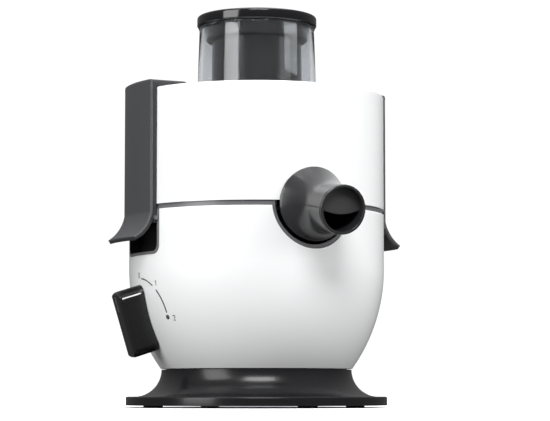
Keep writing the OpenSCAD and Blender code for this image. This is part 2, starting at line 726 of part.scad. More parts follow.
module basket_frame() {
  foot_low_z = deck_top_z + 5;
  rib = 1.6;
  sunk = 0.5;
  sunk_r = sunk * (basket_top_r - basket_low_r) / basket_h;
  color([0.3, 0.3, 0.32]) {
    difference() {
      union() {
        ring(13.4, 18, foot_low_z, basket_z + 0.5);
        ring(5, basket_low_r + mesh_t + rib, basket_z, mesh_z);
      }
      around(6) translate([8, -1.7, foot_low_z - 1]) cube([5.8, 3.4, shaft_top_z - foot_low_z + 1.5]);
    }
    around(6) rotate([0, 0, -2]) rotate_extrude(angle = 4) polygon([
      [basket_low_r + mesh_t - sunk_r, mesh_z - sunk], [basket_low_r + mesh_t + rib - sunk_r, mesh_z - sunk],
      [basket_top_r + mesh_t + rib + sunk_r, mesh_top_z + sunk], [basket_top_r + mesh_t + sunk_r, mesh_top_z + sunk]
    ]);
    rotate_extrude() polygon([
      [basket_top_r, mesh_top_z], [basket_top_r + 4, mesh_top_z], [basket_top_r + 4, mesh_top_z + 2.5],
      [basket_top_r + 2.6, mesh_top_z + 4], [basket_top_r, mesh_top_z + 4]
    ]);
  }
}

module filter_mesh() {
  color([0.75, 0.76, 0.78]) rotate_extrude() polygon([
    [basket_low_r, mesh_z], [basket_low_r + mesh_t, mesh_z],
    [basket_top_r + mesh_t, mesh_top_z], [basket_top_r, mesh_top_z]
  ]);
}

module cutting_disc() {
  color([0.8, 0.8, 0.82]) {
    ring(3, basket_low_r - 1.5, mesh_z, mesh_z + disc_t);
    // Grating teeth in three rings.
    for (row = [0:2]) around(10 + 4 * row, row * 9) translate([18 + row * 15, -1.5, mesh_z + disc_t - 0.2])
      rotate([0, -20, 0]) cube([1, 3, 1.8]);
  }
}

module pusher_stem() {
  color([0.25, 0.25, 0.26]) {
    ring(stem_r - stem_wall, stem_r, foot_z + 1, cap_z - 1);
    rotate_extrude() polygon([
      [0, foot_z], [chute_bore_r - 1.6, foot_z], [chute_bore_r - 0.6, foot_z + 1],
      [chute_bore_r - 0.6, foot_z + 4], [stem_r - stem_wall - 0.5, foot_z + 4], [stem_r - stem_wall - 0.5, foot_z + 2.5],
      [0, foot_z + 2.5]
    ]);
  }
}

module pusher_cap() {
  collar_z = cap_z - collar_h;
  top_z = cap_z + cap_h;
  edge_r = 2.6;
  color([0.08, 0.08, 0.08]) rotate_extrude() polygon(concat(
    [[stem_r + 0.1, collar_z], [collar_r - 0.8, collar_z], [collar_r, collar_z + 0.8], [collar_r, cap_z]],
    arc([cap_r - 1, cap_z + 1], 1, 270, 360, 3),
    arc([cap_r - edge_r, top_z - edge_r], edge_r, 0, 90, 6),
    [[cap_r - 9, top_z], [cap_r - 11, top_z - 1.2], [0, top_z - 1.2], [0, cap_z], [stem_r + 0.1, cap_z]]
  ));
}

// Outline of a clamp seen along X, with its rounded corners.
module clamp_outline() {
  low_z = lever_low_z - 1;
  polygon(concat(
    arc([-clamp_half_w + 6, low_z + 6], 6, 180, 270, 5),
    arc([clamp_half_w - 6, low_z + 6], 6, 270, 360, 5),
    arc([clamp_half_w - 4, clamp_top_z - 4], 4, 0, 90, 5),
    arc([-clamp_half_w + 4, clamp_top_z - 4], 4, 90, 180, 5)
  ));
}

// Keeps what lies within the clamp's outline and on the right side.
module within_clamp() {
  intersection() {
    rotate([0, 0, -25]) rotate_extrude(angle = 50) children();
    translate([hook_r - 12, 0, 0]) rotate([90, 0, 90]) linear_extrude(80) clamp_outline();
  }
}

// Angle on the lever's arc, t behind its face, where it meets radius x.
function lever_angle(x, t) = acos((lever_centre.x - x) / (lever_arc_r + t));
// Face of the finger lever, t behind its outer face, from angle a down to its tip.
function lever_face(t, a) = arc(lever_centre, lever_arc_r + t, 180 + a, 180 + lever_end, 12);
function reversed(list) = [for (i = [len(list) - 1:-1:0]) list[i]];

module clamp_arm(with_lug) {
  hook_low_z = lid_top_z + 0.6;
  hook_top_z = clamp_top_z - skin_t;
  back_t = skin_t + lever_skin_t;
  plate_low_z = clamp_pin_z - 1.3;
  barrel_half_l = clamp_half_w + 0.1;
  back_start = asin((lever_centre.y - plate_low_z) / (lever_arc_r + back_t));
  color([0.3, 0.3, 0.31]) difference() {
    union() {
      within_clamp() polygon(concat(
        [[hook_r, hook_low_z], [arm_in_r, hook_low_z], [arm_in_r, plate_low_z]],
        lever_face(back_t, back_start),
        reversed(lever_face(skin_t, lever_angle(skin_in_r, skin_t))),
        [[skin_in_r, hook_top_z], [hook_r, hook_top_z]]
      ));
      intersection() {
        translate([clamp_pin_x, -barrel_half_l, clamp_pin_z]) rotate([-90, 0, 0])
          cylinder(r = barrel_r, h = 2 * barrel_half_l);
        translate([0, 0, clamp_pin_z - 20]) cylinder(r = skin_in_r - 0.05, h = 40);
      }
      if (with_lug) translate([clamp_pin_x, -4, clamp_pin_z]) rotate([0, 180 - lug_angle, 0]) {
        translate([0, 0, -lug_r]) cube([lug_centre, 8, 2 * lug_r]);
        translate([lug_centre, 0, 0]) rotate([-90, 0, 0]) cylinder(r = lug_r, h = 8);
      }
    }
    translate([clamp_pin_x, -50, clamp_pin_z]) rotate([-90, 0, 0]) cylinder(r = clamp_pin_r + running_fit, h = 100);
  }
}

module clamp_cover() {
  edge_r = 1.8;
  under_z = clamp_top_z - skin_t;
  color([0.4, 0.4, 0.41]) within_clamp() polygon(concat(
    lever_face(0, lever_start),
    reversed(lever_face(skin_t, lever_angle(skin_in_r, skin_t))),
    [[skin_in_r, under_z], [hook_r - 1.5, under_z], [hook_r - 1.5, clamp_top_z]],
    arc([clamp_out_r - edge_r, clamp_top_z - edge_r], edge_r, 90, 0, 4)
  ));
}

module left_clamp_arm() { mirror([1, 0, 0]) clamp_arm(false); }
module right_clamp_arm() { clamp_arm(true); }
module left_clamp_cover() { mirror([1, 0, 0]) clamp_cover(); }
module right_clamp_cover() { clamp_cover(); }

// Upright rectangle with rounded upper corners.
module crowned(width, height, corner_r) {
  polygon(concat(
    [[-width / 2, -4], [width / 2, -4]],
    arc([width / 2 - corner_r, height - corner_r], corner_r, 0, 90, 6),
    arc([-width / 2 + corner_r, height - corner_r], corner_r, 90, 180, 6)
  ));
}

module speed_knob() {
  half_flat = (knob_l - knob_w) / 2;
  under_r = belly_arc_r + moving_gap + 0.2;
  color([0.1, 0.1, 0.1]) at_knob() difference() {
    intersection() {
      translate([0, 0, -4]) linear_extrude(knob_h + 8) polygon(concat(
        arc([half_flat, 0], knob_w / 2, -90, 90, 12),
        arc([-half_flat, 0], knob_w / 2, 90, 270, 12)
      ));
      rotate([90, 0, 0]) translate([0, 0, -knob_w]) linear_extrude(2 * knob_w) crowned(knob_l, knob_h, 4);
      rotate([90, 0, 90]) translate([0, 0, -knob_l]) linear_extrude(2 * knob_l) crowned(knob_w, knob_h, 2.5);
    }
    // The underside follows the housing at a small gap.
    rotate_extrude() polygon(concat([[0, -10], [40, -10]], arc([0, -belly_arc_r], under_r, 75.5, 90, 8)));
    translate([0, 0, -5]) cylinder(r = spindle_r + 0.02, h = knob_h - 5);
    translate([knob_l / 2 - 19, -0.6, knob_h - 0.8]) cube([16, 1.2, 5]);
  }
}

module knob_spindle() {
  color([0.7, 0.7, 0.72]) at_knob() translate([0, 0, -switch_depth - switch_t + 4])
    cylinder(r = spindle_r, h = switch_depth + switch_t - 4 + knob_h - 10.5);
}

module interlock_plunger() {
  color([0.85, 0.2, 0.15]) translate([plunger_x, 0, plunger_z]) rotate([0, -90, 0]) {
    cylinder(r = 3.5, h = 2);
    cylinder(r = plunger_r, h = plunger_x - liner_back_x + 2.5);
  }
}

pedestal();
bottom_cover();
rubber_feet();
cover_screws();
housing_screws();
cord_gland();
motor_housing();
motor_deck();
trim_ring();
left_clamp_recess();
right_clamp_recess();
left_clamp_pin();
right_clamp_pin();
lower_motor_bracket();
upper_motor_bracket();
stator_core();
field_coils();
motor_bolts();
motor_dampers();
lower_bearing();
upper_bearing();
brush_holders();
carbon_brushes();
shaft_seal();
speed_switch();
control_board();
suppressor_capacitor();
interlock_switch();
juice_bowl();
spout();
pulp_container();
lid_cover();
lid_seal();
feed_chute();
motor_shaft();
armature_core();
armature_winding();
commutator();
cooling_fan();
drive_coupling();
basket_frame();
filter_mesh();
cutting_disc();
pusher_stem();
pusher_cap();
left_clamp_arm();
left_clamp_cover();
right_clamp_arm();
right_clamp_cover();
speed_knob();
knob_spindle();
interlock_plunger();
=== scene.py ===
"""A centrifugal juicer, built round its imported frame: the visible shells are worked out as surfaces,
the inner pieces keep their own solids, and every piece gets a node material."""

import bmesh
import bpy
import numpy as np
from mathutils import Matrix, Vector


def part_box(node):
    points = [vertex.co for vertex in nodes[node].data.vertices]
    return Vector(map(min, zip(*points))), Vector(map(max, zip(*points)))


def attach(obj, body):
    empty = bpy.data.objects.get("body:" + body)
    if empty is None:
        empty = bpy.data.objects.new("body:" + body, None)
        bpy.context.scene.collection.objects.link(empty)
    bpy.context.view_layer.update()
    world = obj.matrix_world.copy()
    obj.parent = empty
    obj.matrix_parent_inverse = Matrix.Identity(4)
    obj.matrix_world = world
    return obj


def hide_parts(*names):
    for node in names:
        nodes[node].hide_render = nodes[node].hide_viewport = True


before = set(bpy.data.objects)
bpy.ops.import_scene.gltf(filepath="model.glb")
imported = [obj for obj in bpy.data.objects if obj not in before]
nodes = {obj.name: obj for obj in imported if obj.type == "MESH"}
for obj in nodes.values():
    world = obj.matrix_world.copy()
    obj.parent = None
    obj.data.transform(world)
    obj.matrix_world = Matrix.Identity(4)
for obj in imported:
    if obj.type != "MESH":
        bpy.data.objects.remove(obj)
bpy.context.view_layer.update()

# ---------------------------------------------------------------- Studio
# A small product studio: a long lens close to table height, a pale table that runs out of sight,
# soft boxes in front, on the left and above, a fill on the right, and a white backdrop.
heading = np.radians(26.3)
pitch = np.radians(4.94)
camera_data = bpy.data.cameras.new("studio_camera")
camera_data.lens = 137.9
camera_data.clip_end = 60.0
camera = bpy.data.objects.new("studio_camera", camera_data)
camera.location = (-0.8639, -1.7871, 0.014)
camera.rotation_euler = (np.pi / 2 + pitch, 0.0, -heading)
bpy.context.scene.collection.objects.link(camera)
bpy.context.scene.camera = camera
bpy.context.scene.view_settings.view_transform = "Standard"


def soft_box(name, place, aim, width, height, power):
    """A rectangular lamp at place that faces aim."""
    lamp = bpy.data.lights.new(name, "AREA")
    lamp.shape = "RECTANGLE"
    lamp.size = width
    lamp.size_y = height
    lamp.energy = power
    light = bpy.data.objects.new(name, lamp)
    light.location = place
    toward = Vector(aim) - Vector(place)
    light.rotation_euler = toward.to_track_quat("-Z", "Y").to_euler()
    bpy.context.scene.collection.objects.link(light)


def fill_box(name, place, aim, width, height, power):
    """A soft box that lights the matt surfaces and is not mirrored in the glossy ones."""
    soft_box(name, place, aim, width, height, power)
    bpy.data.objects[name].visible_glossy = False


soft_box("front_box", (-0.9, -2.3, 2.3), (0, 0, 0.2), 1.8, 1.0, 80)
soft_box("left_box", (-2.1, -0.5, 0.85), (0, 0, 0.2), 1.2, 1.6, 34)
soft_box("top_box", (0.1, 0.2, 2.2), (0, 0, 0), 1.6, 1.6, 24)
fill_box("right_fill", (1.7, -1.5, 1.1), (0, 0, 0.22), 1.4, 1.4, 42)

world = bpy.data.worlds.new("white_room")
world.use_nodes = True
bpy.context.scene.world = world


class Value:
    """A shader socket in an expression: arithmetic on it adds Math nodes."""

    def __init__(self, tree, socket):
        self.tree = tree
        self.socket = socket

    def math(self, operation, first, second=0.0):
        return make(self.tree, "ShaderNodeMath", {"operation": operation}, {0: first, 1: second})

    def __add__(self, other):
        return self.math("ADD", self, other)

    def __sub__(self, other):
        return self.math("SUBTRACT", self, other)

    def __rsub__(self, other):
        return self.math("SUBTRACT", other, self)

    def __mul__(self, other):
        return self.math("MULTIPLY", self, other)

    def __truediv__(self, other):
        return self.math("DIVIDE", self, other)

    def __pow__(self, other):
        return self.math("POWER", self, other)

    def __gt__(self, other):
        return self.math("GREATER_THAN", self, other)

    def __lt__(self, other):
        return self.math("LESS_THAN", self, other)

    __radd__ = __add__
    __rmul__ = __mul__


def make(tree, kind, settings, inputs, output=0):
    """Adds one node: its settings first, a ramp's stops among them, then its inputs by name or place."""
    node = tree.nodes.new(kind)
    for name, setting in settings.items():
        if name == "stops":
            for place, level in setting[1:-1]:
                node.color_ramp.elements.new(place)
            for stop, (place, level) in zip(node.color_ramp.elements, setting):
                stop.position = place
                stop.color = (level, level, level, 1.0)
        else:
            setattr(node, name, setting)
    for name, value in inputs.items():
        if isinstance(value, Value):
            tree.links.new(value.socket, node.inputs[name])
        else:
            node.inputs[name].default_value = value
    return Value(tree, node.outputs[output])


def white_room(tree):
    """A white backdrop to the eye; the room that lights the object is dim, and paler overhead."""
    direction = make(tree, "ShaderNodeTexCoord", {}, {}, "Generated")
    height = make(tree, "ShaderNodeSeparateXYZ", {}, {0: direction}, "Z")
    seen = make(tree, "ShaderNodeLightPath", {}, {}, "Is Camera Ray")
    through = make(tree, "ShaderNodeLightPath", {}, {}, "Is Transmission Ray")
    seen = seen.math("MAXIMUM", seen, through)
    dim = (height > 0.0) * height * 0.35 + 0.12
    level = dim + seen * (1.05 - dim)
    tree.nodes["Background"].inputs["Color"].default_value = (1.0, 1.0, 1.0, 1.0)
    tree.links.new(level.socket, tree.nodes["Background"].inputs["Strength"])


white_room(world.node_tree)


def mesh_object(name, points, faces, merge=True):
    """A mesh from points and faces; doubled points on seams and poles are merged, faces turned outward."""
    mesh = bpy.data.meshes.new(name)
    mesh.from_pydata(np.asarray(points, float).reshape(-1, 3).tolist(), [], faces)
    if merge:
        work = bmesh.new()
        work.from_mesh(mesh)
        bmesh.ops.remove_doubles(work, verts=work.verts, dist=2e-6)
        bmesh.ops.dissolve_degenerate(work, edges=work.edges, dist=2e-6)
        bmesh.ops.recalc_face_normals(work, faces=work.faces)
        work.to_mesh(mesh)
        work.free()
    mesh.shade_smooth()
    mesh.set_sharp_from_angle(angle=np.radians(32))
    thing = bpy.data.objects.new(name, mesh)
    bpy.context.scene.collection.objects.link(thing)
    return thing


def grid_faces(rows, columns, wrap_rows=False, wrap_columns=False):
    """The quads of a grid of rows x columns points, closed round in either direction if asked."""
    i = np.arange(rows if wrap_rows else rows - 1)
    j = np.arange(columns if wrap_columns else columns - 1)
    i, j = np.meshgrid(i, j, indexing="ij")
    i2, j2 = (i + 1) % rows, (j + 1) % columns
    quads = np.stack([i * columns + j, i * columns + j2, i2 * columns + j2, i2 * columns + j], -1)
    return quads.reshape(-1, 4).tolist()


def pale_table():
    """A flat pale floor, 40 m square; away from the object it is as white as the backdrop."""
    side = np.array([-20.0, 20.0])
    x, y = np.meshgrid(side, side, indexing="ij")
    floor = mesh_object("pale_table", np.stack([x, y, 0 * x], -1), [[0, 2, 3, 1]], merge=False)
    material = bpy.data.materials.new("pale_table")
    material.use_nodes = True
    tree = material.node_tree
    shader = tree.nodes["Principled BSDF"]
    seen = make(tree, "ShaderNodeLightPath", {}, {}, "Is Camera Ray")
    paper = make(tree, "ShaderNodeMix", {"data_type": "RGBA"},
                 {0: seen, 6: (0.1, 0.1, 0.1, 1.0), 7: (0.95, 0.95, 0.95, 1.0)}, 2)
    tree.links.new(paper.socket, shader.inputs["Base Color"])
    place = make(tree, "ShaderNodeTexCoord", {}, {}, "Object")
    away = make(tree, "ShaderNodeVectorMath", {"operation": "LENGTH"}, {0: place}, "Value")
    white = make(tree, "ShaderNodeMapRange", {"interpolation_type": "SMOOTHSTEP"},
                 {"Value": away, "From Min": 0.15, "From Max": 0.32})
    tree.links.new((white * seen).socket, shader.inputs["Emission Color"])
    shader.inputs["Emission Strength"].default_value = 1.0
    shader.inputs["Roughness"].default_value = 1.0
    shader.inputs["Specular IOR Level"].default_value = 0.0
    floor.data.materials.append(material)


pale_table()

# ---------------------------------------------------------------- Pedestal
# One injection-moulded ABS foot with a concave flare, glossy and nearly black. It closes the
# housing from below: four screws go up into the housing, and a flat cover closes its own underside.
MM = 0.001
housing_low, housing_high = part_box("motor_housing")
lid_low, lid_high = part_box("lid_cover")
pedestal_low, pedestal_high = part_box("pedestal")
body_r = lid_high.x
wall = 3.0 * MM
belly_arc_r = 161.0 * MM
belly_z = 130.0 * MM


def arc(centre, radius, start, end, steps=12):
    """Points centre + radius (cos a, sin a), with a from start to end in degrees."""
    a = np.radians(np.linspace(start, end, steps + 1))
    return np.stack([centre[0] + radius * np.cos(a), centre[1] + radius * np.sin(a)], 1)


def outline(*parts):
    """Single points and arcs joined into one array of (radius, height)."""
    return np.concatenate([np.atleast_2d(np.asarray(part, float)) for part in parts])


def soften(thing, width, segments=2, angle=32):
    """Rounds the edges that turn by more than angle, as a mould does."""
    bevel = thing.modifiers.new("mould_edge", "BEVEL")
    bevel.width = width
    bevel.segments = segments
    bevel.limit_method = "ANGLE"
    bevel.angle_limit = np.radians(angle)
    bevel.harden_normals = False
    return thing


def turned(name, profile, steps=192, edge=0.3 * MM):
    """A closed outline of (radius, height) carried round Z: x = r cos t, y = r sin t, z = height."""
    t = np.linspace(0, 2 * np.pi, steps, endpoint=False)
    r, z = profile[:, 0], profile[:, 1]
    points = np.stack([np.outer(np.cos(t), r), np.outer(np.sin(t), r), np.tile(z, (steps, 1))], -1)
    thing = mesh_object(name, points, grid_faces(steps, len(profile), True, True))
    return soften(thing, edge) if edge else thing


def finish(name, colour, spread=0.04, rough=0.3, rough_spread=0.06, grain=900.0, depth=0.04, painted_highlight=0.0,
           metal=0.0, coat=0.0, stretch=(1.0, 1.0, 1.0), **fixed):
    """A moulded or worked surface: colour drifts a little, gloss varies in patches, fine grain
    lifts the surface, and a painted highlight makes raised edges paler."""
    material = bpy.data.materials.new(name)
    material.use_nodes = True
    tree = material.node_tree
    shader = tree.nodes["Principled BSDF"]
    place = make(tree, "ShaderNodeTexCoord", {}, {}, "Object")
    scaled = make(tree, "ShaderNodeMapping", {}, {"Vector": place, "Scale": stretch}, "Vector")
    broad = make(tree, "ShaderNodeTexNoise", {}, {"Vector": place, "Scale": 14.0, "Detail": 3.0}, "Fac")
    fine = make(tree, "ShaderNodeTexNoise", {}, {"Vector": scaled, "Scale": grain, "Detail": 2.0}, "Fac")
    tone = (broad - 0.5) * spread * 2 + (fine - 0.5) * spread + 0.5
    dark = tuple(c * (1 - spread) for c in colour) + (1.0,)
    pale = tuple(min(c * (1 + spread) + 0.01 * spread, 1.0) for c in colour) + (1.0,)
    base = make(tree, "ShaderNodeMix", {"data_type": "RGBA", "clamp_factor": True},
                {0: tone, 6: dark, 7: pale}, 2)
    if painted_highlight:
        # Painted highlight: edges picked out by pointiness are mixed towards a paler colour.
        bent = make(tree, "ShaderNodeNewGeometry", {}, {}, "Pointiness")
        highlight_mask = make(tree, "ShaderNodeValToRGB", {"stops": [(0.52, 0.0), (0.58, 1.0)]}, {0: bent}, "Color")
        highlight_colour = tuple(min(c * 1.6 + 0.03, 1.0) for c in colour) + (1.0,)
        base = make(tree, "ShaderNodeMix", {"data_type": "RGBA"},
                    {0: Value(tree, highlight_mask.socket) * painted_highlight, 6: base, 7: highlight_colour}, 2)
    tree.links.new(base.socket, shader.inputs["Base Color"])
    gloss = (broad - 0.5) * rough_spread * 2 + (fine - 0.5) * rough_spread + rough
    tree.links.new(gloss.socket, shader.inputs["Roughness"])
    if depth:
        lift = make(tree, "ShaderNodeBump", {}, {"Height": fine, "Strength": depth, "Distance": 0.0004})
        tree.links.new(lift.socket, shader.inputs["Normal"])
    shader.inputs["Metallic"].default_value = metal
    shader.inputs["Coat Weight"].default_value = coat
    for socket, value in fixed.items():
        shader.inputs[socket.replace("_", " ")].default_value = value
    return material


def dress(thing, material):
    """Gives a piece or a kept solid one material."""
    thing.data.materials.clear()
    thing.data.materials.append(material)
    return thing


def fit(piece, body, slot, *replaced):
    """A finished piece rides on its body and stands for its solids, which are hidden; slot is not used."""
    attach(piece, body)
    if replaced:
        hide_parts(*replaced)


rim_r = pedestal_high.x
seam_z = housing_low.z - 0.8 * MM
flare_r = 25.0 * MM
neck_r = rim_r - 8.3 * MM - flare_r
rim_low_z, rim_top_z = pedestal_low.z, seam_z - flare_r
flare_centre = (neck_r + flare_r, seam_z)
pedestal_wall = 2.6 * MM
pedestal_gloss = finish("pedestal_gloss", (0.009, 0.009, 0.01), 0.1, 0.24, 0.03, 700.0, 0.012,
                        coat=0.05, Specular_IOR_Level=0.3, Coat_Roughness=0.04)
pedestal = turned("pedestal_foot", outline(
    (rim_r - pedestal_wall, rim_low_z), (rim_r, rim_low_z),
    arc((rim_r - 1.5 * MM, rim_top_z - 1.5 * MM), 1.5 * MM, 0, 90, 6),
    arc(flare_centre, flare_r, 270, 180, 28),
    (neck_r - 4.5 * MM, seam_z), (neck_r - 4.5 * MM, housing_low.z), (neck_r - 21 * MM, housing_low.z),
    (neck_r - 21 * MM, seam_z - 3 * MM), (neck_r - pedestal_wall, seam_z - 3 * MM),
    arc(flare_centre, flare_r + pedestal_wall, 186, 270, 24),
    (rim_r - pedestal_wall, rim_top_z - pedestal_wall)))
dress(pedestal, pedestal_gloss)
fit(pedestal, "base", "dark_gloss", "pedestal")

cover_plastic = finish("underside_plastic", (0.03, 0.03, 0.031), 0.12, 0.55, 0.08, 1600.0, 0.25)
foot_rubber = finish("foot_rubber", (0.018, 0.018, 0.018), 0.2, 0.8, 0.08, 2600.0, 0.4)
zinc = finish("zinc_plate", (0.55, 0.56, 0.58), 0.08, 0.3, 0.08, 1500.0, 0.05, metal=1.0)
dress(nodes["bottom_cover"], cover_plastic)
dress(nodes["rubber_feet"], foot_rubber)
dress(nodes["cord_gland"], foot_rubber)
dress(nodes["cover_screws"], zinc)
dress(nodes["housing_screws"], zinc)

# ---------------------------------------------------------------- Motor housing
# The white drum that holds the motor: moulded ABS, polished mould, one wall thick all round, drawn
# in by an arc to its neck. Its top edge is notched for the spout and open for the two clamp wells.
spout_mouth = np.array([0.0, -174.0, 172.7]) * MM
spout_tilt = np.radians(10.0)
flange_r = 33.5 * MM
notch_r = flange_r + 6 * MM
well_half_w = 34.7 * MM
well_low_z = 139.42 * MM
well_corner_r = 8.0 * MM


def on_drum(across, up, radius):
    """The point of the drum of that radius that lies across and up from the spout's axis."""
    y = -np.sqrt(radius ** 2 - across ** 2)
    z = spout_mouth[2] + (up + np.sin(spout_tilt) * (y - spout_mouth[1])) / np.cos(spout_tilt)
    return across, y, z


def drum_radius(z):
    """Outer radius of the housing: straight above belly_z, an arc of belly_arc_r below it."""
    drop = np.minimum(z - belly_z, 0.0)
    return body_r - belly_arc_r + np.sqrt(belly_arc_r ** 2 - drop ** 2)


def drum_columns(notch):
    """Turns of the grid's columns, from the back round by -Y: even, with extra ones along the notch
    and a doubled one at each side of each clamp well."""
    even = np.radians(np.linspace(-270, 90, 241))
    dense = np.arcsin(notch / body_r * np.sin(np.linspace(-np.pi / 2, np.pi / 2, 61))) - np.pi / 2
    side = np.arcsin(well_half_w / body_r)
    corner = np.arcsin((well_half_w - well_corner_r * (1 - np.cos(np.linspace(0, np.pi / 2, 9)))) / body_r)
    wells = [np.concatenate([mid - corner, mid + corner, [mid - side, mid + side]]) for mid in (-np.pi, 0.0)]
    return np.sort(np.concatenate([even, dense] + wells))


def housing_shell():
    """Rows of z between the neck and the top edge, radius by drum_radius(z). The top edge is the
    spout's circle where the notch is and the well's outline where a clamp well is."""
    turn = drum_columns(notch_r)
    x, y = body_r * np.cos(turn), body_r * np.sin(turn)
    top = np.full(len(turn), housing_high.z)
    front = (np.abs(x) < notch_r) & (y < 0)
    circle = on_drum(x[front], -np.sqrt(notch_r ** 2 - x[front] ** 2), body_r)[2]
    top[front] = np.minimum(circle, housing_high.z)
    reach = np.abs(y) - (well_half_w - well_corner_r)
    in_well = np.abs(y) <= well_half_w + 1e-9
    doubled = np.isclose(np.abs(y), well_half_w, atol=1e-7)
    drop = np.sqrt(np.maximum(well_corner_r ** 2 - np.maximum(reach, 0) ** 2, 0))
    corner = well_low_z + well_corner_r - drop
    top[in_well] = corner[in_well]
    pairs = np.flatnonzero(doubled)
    outer = pairs[[0, 3, 4, 7]]
    top[outer] = housing_high.z
    split_z, join_z = well_low_z - 2 * MM, well_low_z + well_corner_r
    low = np.linspace(housing_low.z, split_z, 34)
    middle = np.linspace(0, 1, 5)[1:, None] * (np.minimum(join_z, top) - split_z)[None, :] + split_z
    high = np.linspace(0, 1, 13)[1:, None] * (top - np.minimum(join_z, top))[None, :] + middle[-1][None, :]
    z = np.concatenate([np.repeat(low[:, None], len(turn), 1), middle, high])
    r = drum_radius(z)
    inward = np.array([neck_r - 20 * MM, neck_r - 10 * MM, neck_r - 1 * MM])
    r = np.concatenate([np.repeat(inward[:, None], len(turn), 1), r])
    z = np.concatenate([np.full((3, len(turn)), housing_low.z), z])
    points = np.stack([r * np.cos(turn), r * np.sin(turn), z], -1)
    faces = np.array(grid_faces(len(z), len(turn)))
    gap = np.isclose(np.diff(turn), 0.0, atol=1e-9)
    keep = ~gap[faces[:, 0] % len(turn)]
    return points, faces[keep]


def walled(name, points, faces, thickness, edge):
    """A shell of even wall, thickened inward, with its edges softened."""
    thing = mesh_object(name, points, faces.tolist())
    solid = thing.modifiers.new("wall", "SOLIDIFY")
    solid.thickness = thickness
    solid.offset = -1.0
    solid.use_even_offset = True
    return soften(thing, edge, 2, 40)


white_gloss = finish("white_gloss", (0.87, 0.875, 0.88), 0.012, 0.24, 0.03, 500.0, 0.006, coat=0.3,
                     Coat_Roughness=0.05)
housing = walled("housing_drum", *housing_shell(), wall, 0.35 * MM)
dress(housing, white_gloss)
fit(housing, "base", "white_gloss", "motor_housing")

# ---------------------------------------------------------------- Trim band
# A grey ring snapped on the housing's top edge, set back a little behind both white walls. At the
# front it dips and runs round the underside of the spout's flange as a narrow loop.
def swept(name, rings, edge):
    """Closed sections carried along an open path: rings[i, j] is point j of section i, ends capped."""
    count, size = rings.shape[:2]
    faces = grid_faces(count, size, False, True)
    faces += [list(range(size)), list(range((count - 1) * size, count * size))]
    return soften(mesh_object(name, rings, faces), edge)


def joined(name, parts):
    """Several meshes of one moulding made into one piece."""
    bpy.ops.object.select_all(action="DESELECT")
    for part in parts:
        part.select_set(True)
    bpy.context.view_layer.objects.active = parts[0]
    bpy.ops.object.join()
    parts[0].name = name
    return parts[0]


trim_out_r = body_r - 1.5 * MM
trim_in_r = body_r - 4.5 * MM


def trim_loop():
    """A section 3 mm square between two circles about the spout's axis, bent onto the drum."""
    turn = np.radians(np.linspace(178, 362, 97))
    corners = [(flange_r + 2.7 * MM, trim_out_r), (flange_r + 5.7 * MM, trim_out_r),
               (flange_r + 5.7 * MM, trim_in_r), (flange_r + 2.7 * MM, trim_in_r)]
    ring = [np.stack(on_drum(radius * np.cos(turn), radius * np.sin(turn), drum), -1)
            for radius, drum in corners]
    return np.stack(ring, 1)


def trim_band():
    """A flat section carried round the drum from one side of the notch to the other."""
    gap = np.arcsin((notch_r - 1 * MM) / trim_out_r)
    turn = np.linspace(-np.pi / 2 + gap, 1.5 * np.pi - gap, 181)
    r = np.array([trim_out_r, trim_out_r, trim_in_r, trim_in_r])
    z = np.array([housing_high.z, lid_low.z, lid_low.z, housing_high.z])
    return np.stack([np.outer(np.cos(turn), r), np.outer(np.sin(turn), r), np.tile(z, (len(turn), 1))], -1)


trim = joined("trim_loop", [swept("trim_loop", trim_loop(), 0.25 * MM),
                            swept("trim_band", trim_band(), 0.25 * MM)])
trim_grey = finish("trim_grey", (0.13, 0.13, 0.135), 0.06, 0.3, 0.05, 900.0, 0.03)
dress(trim, trim_grey)
fit(trim, "base", "grey_gloss", "trim_ring")

# ---------------------------------------------------------------- Lid cover
# The white upper drum, moulded in one with its flat top, which has a round hole for the feed chute.
# Its lower edge sits on the trim band and is cut out in an arch over the spout.
arch_r = flange_r - 3 * MM
chute_hole_r = 56.7 * MM
lid_edge_r = 1.6 * MM


def lid_shell():
    """Closed columns round Z: up the outer wall from the arch, over the edge, in to the hole, back
    under the top plate and down the inner wall."""
    turn = drum_columns(arch_r)
    x, y = body_r * np.cos(turn), body_r * np.sin(turn)
    low = np.full(len(turn), lid_low.z)
    front = (np.abs(x) < arch_r) & (y < 0)
    low[front] = np.maximum(on_drum(x[front], np.sqrt(arch_r ** 2 - x[front] ** 2), body_r)[2], lid_low.z)
    rise = np.linspace(0, 1, 28)[:, None]
    edge_z = lid_high.z - lid_edge_r
    outer_z = low + rise * (edge_z - low)
    edge = arc((body_r - lid_edge_r, edge_z), lid_edge_r, 0, 90, 8)[1:]
    plate_r = np.linspace(body_r - 4 * MM, chute_hole_r, 10)
    under_r = np.linspace(chute_hole_r, body_r - wall, 8)
    inner_z = low + rise[::-1] * (lid_high.z - wall - low)
    r = np.concatenate([np.full(28, body_r), edge[:, 0], plate_r, under_r, np.full(28, body_r - wall)])
    flat = np.concatenate([edge[:, 1], np.full(10, lid_high.z), np.full(8, lid_high.z - wall)])
    z = np.concatenate([outer_z, np.repeat(flat[:, None], len(turn), 1), inner_z])
    r = np.repeat(r[:, None], len(turn), 1)
    points = np.stack([r * np.cos(turn), r * np.sin(turn), z], -1)
    return points, grid_faces(len(z), len(turn), True, False)


lid = soften(mesh_object("lid_drum", *lid_shell()), 0.3 * MM, 2, 50)
dress(lid, white_gloss)
fit(lid, "base", "white_gloss", "lid_cover")

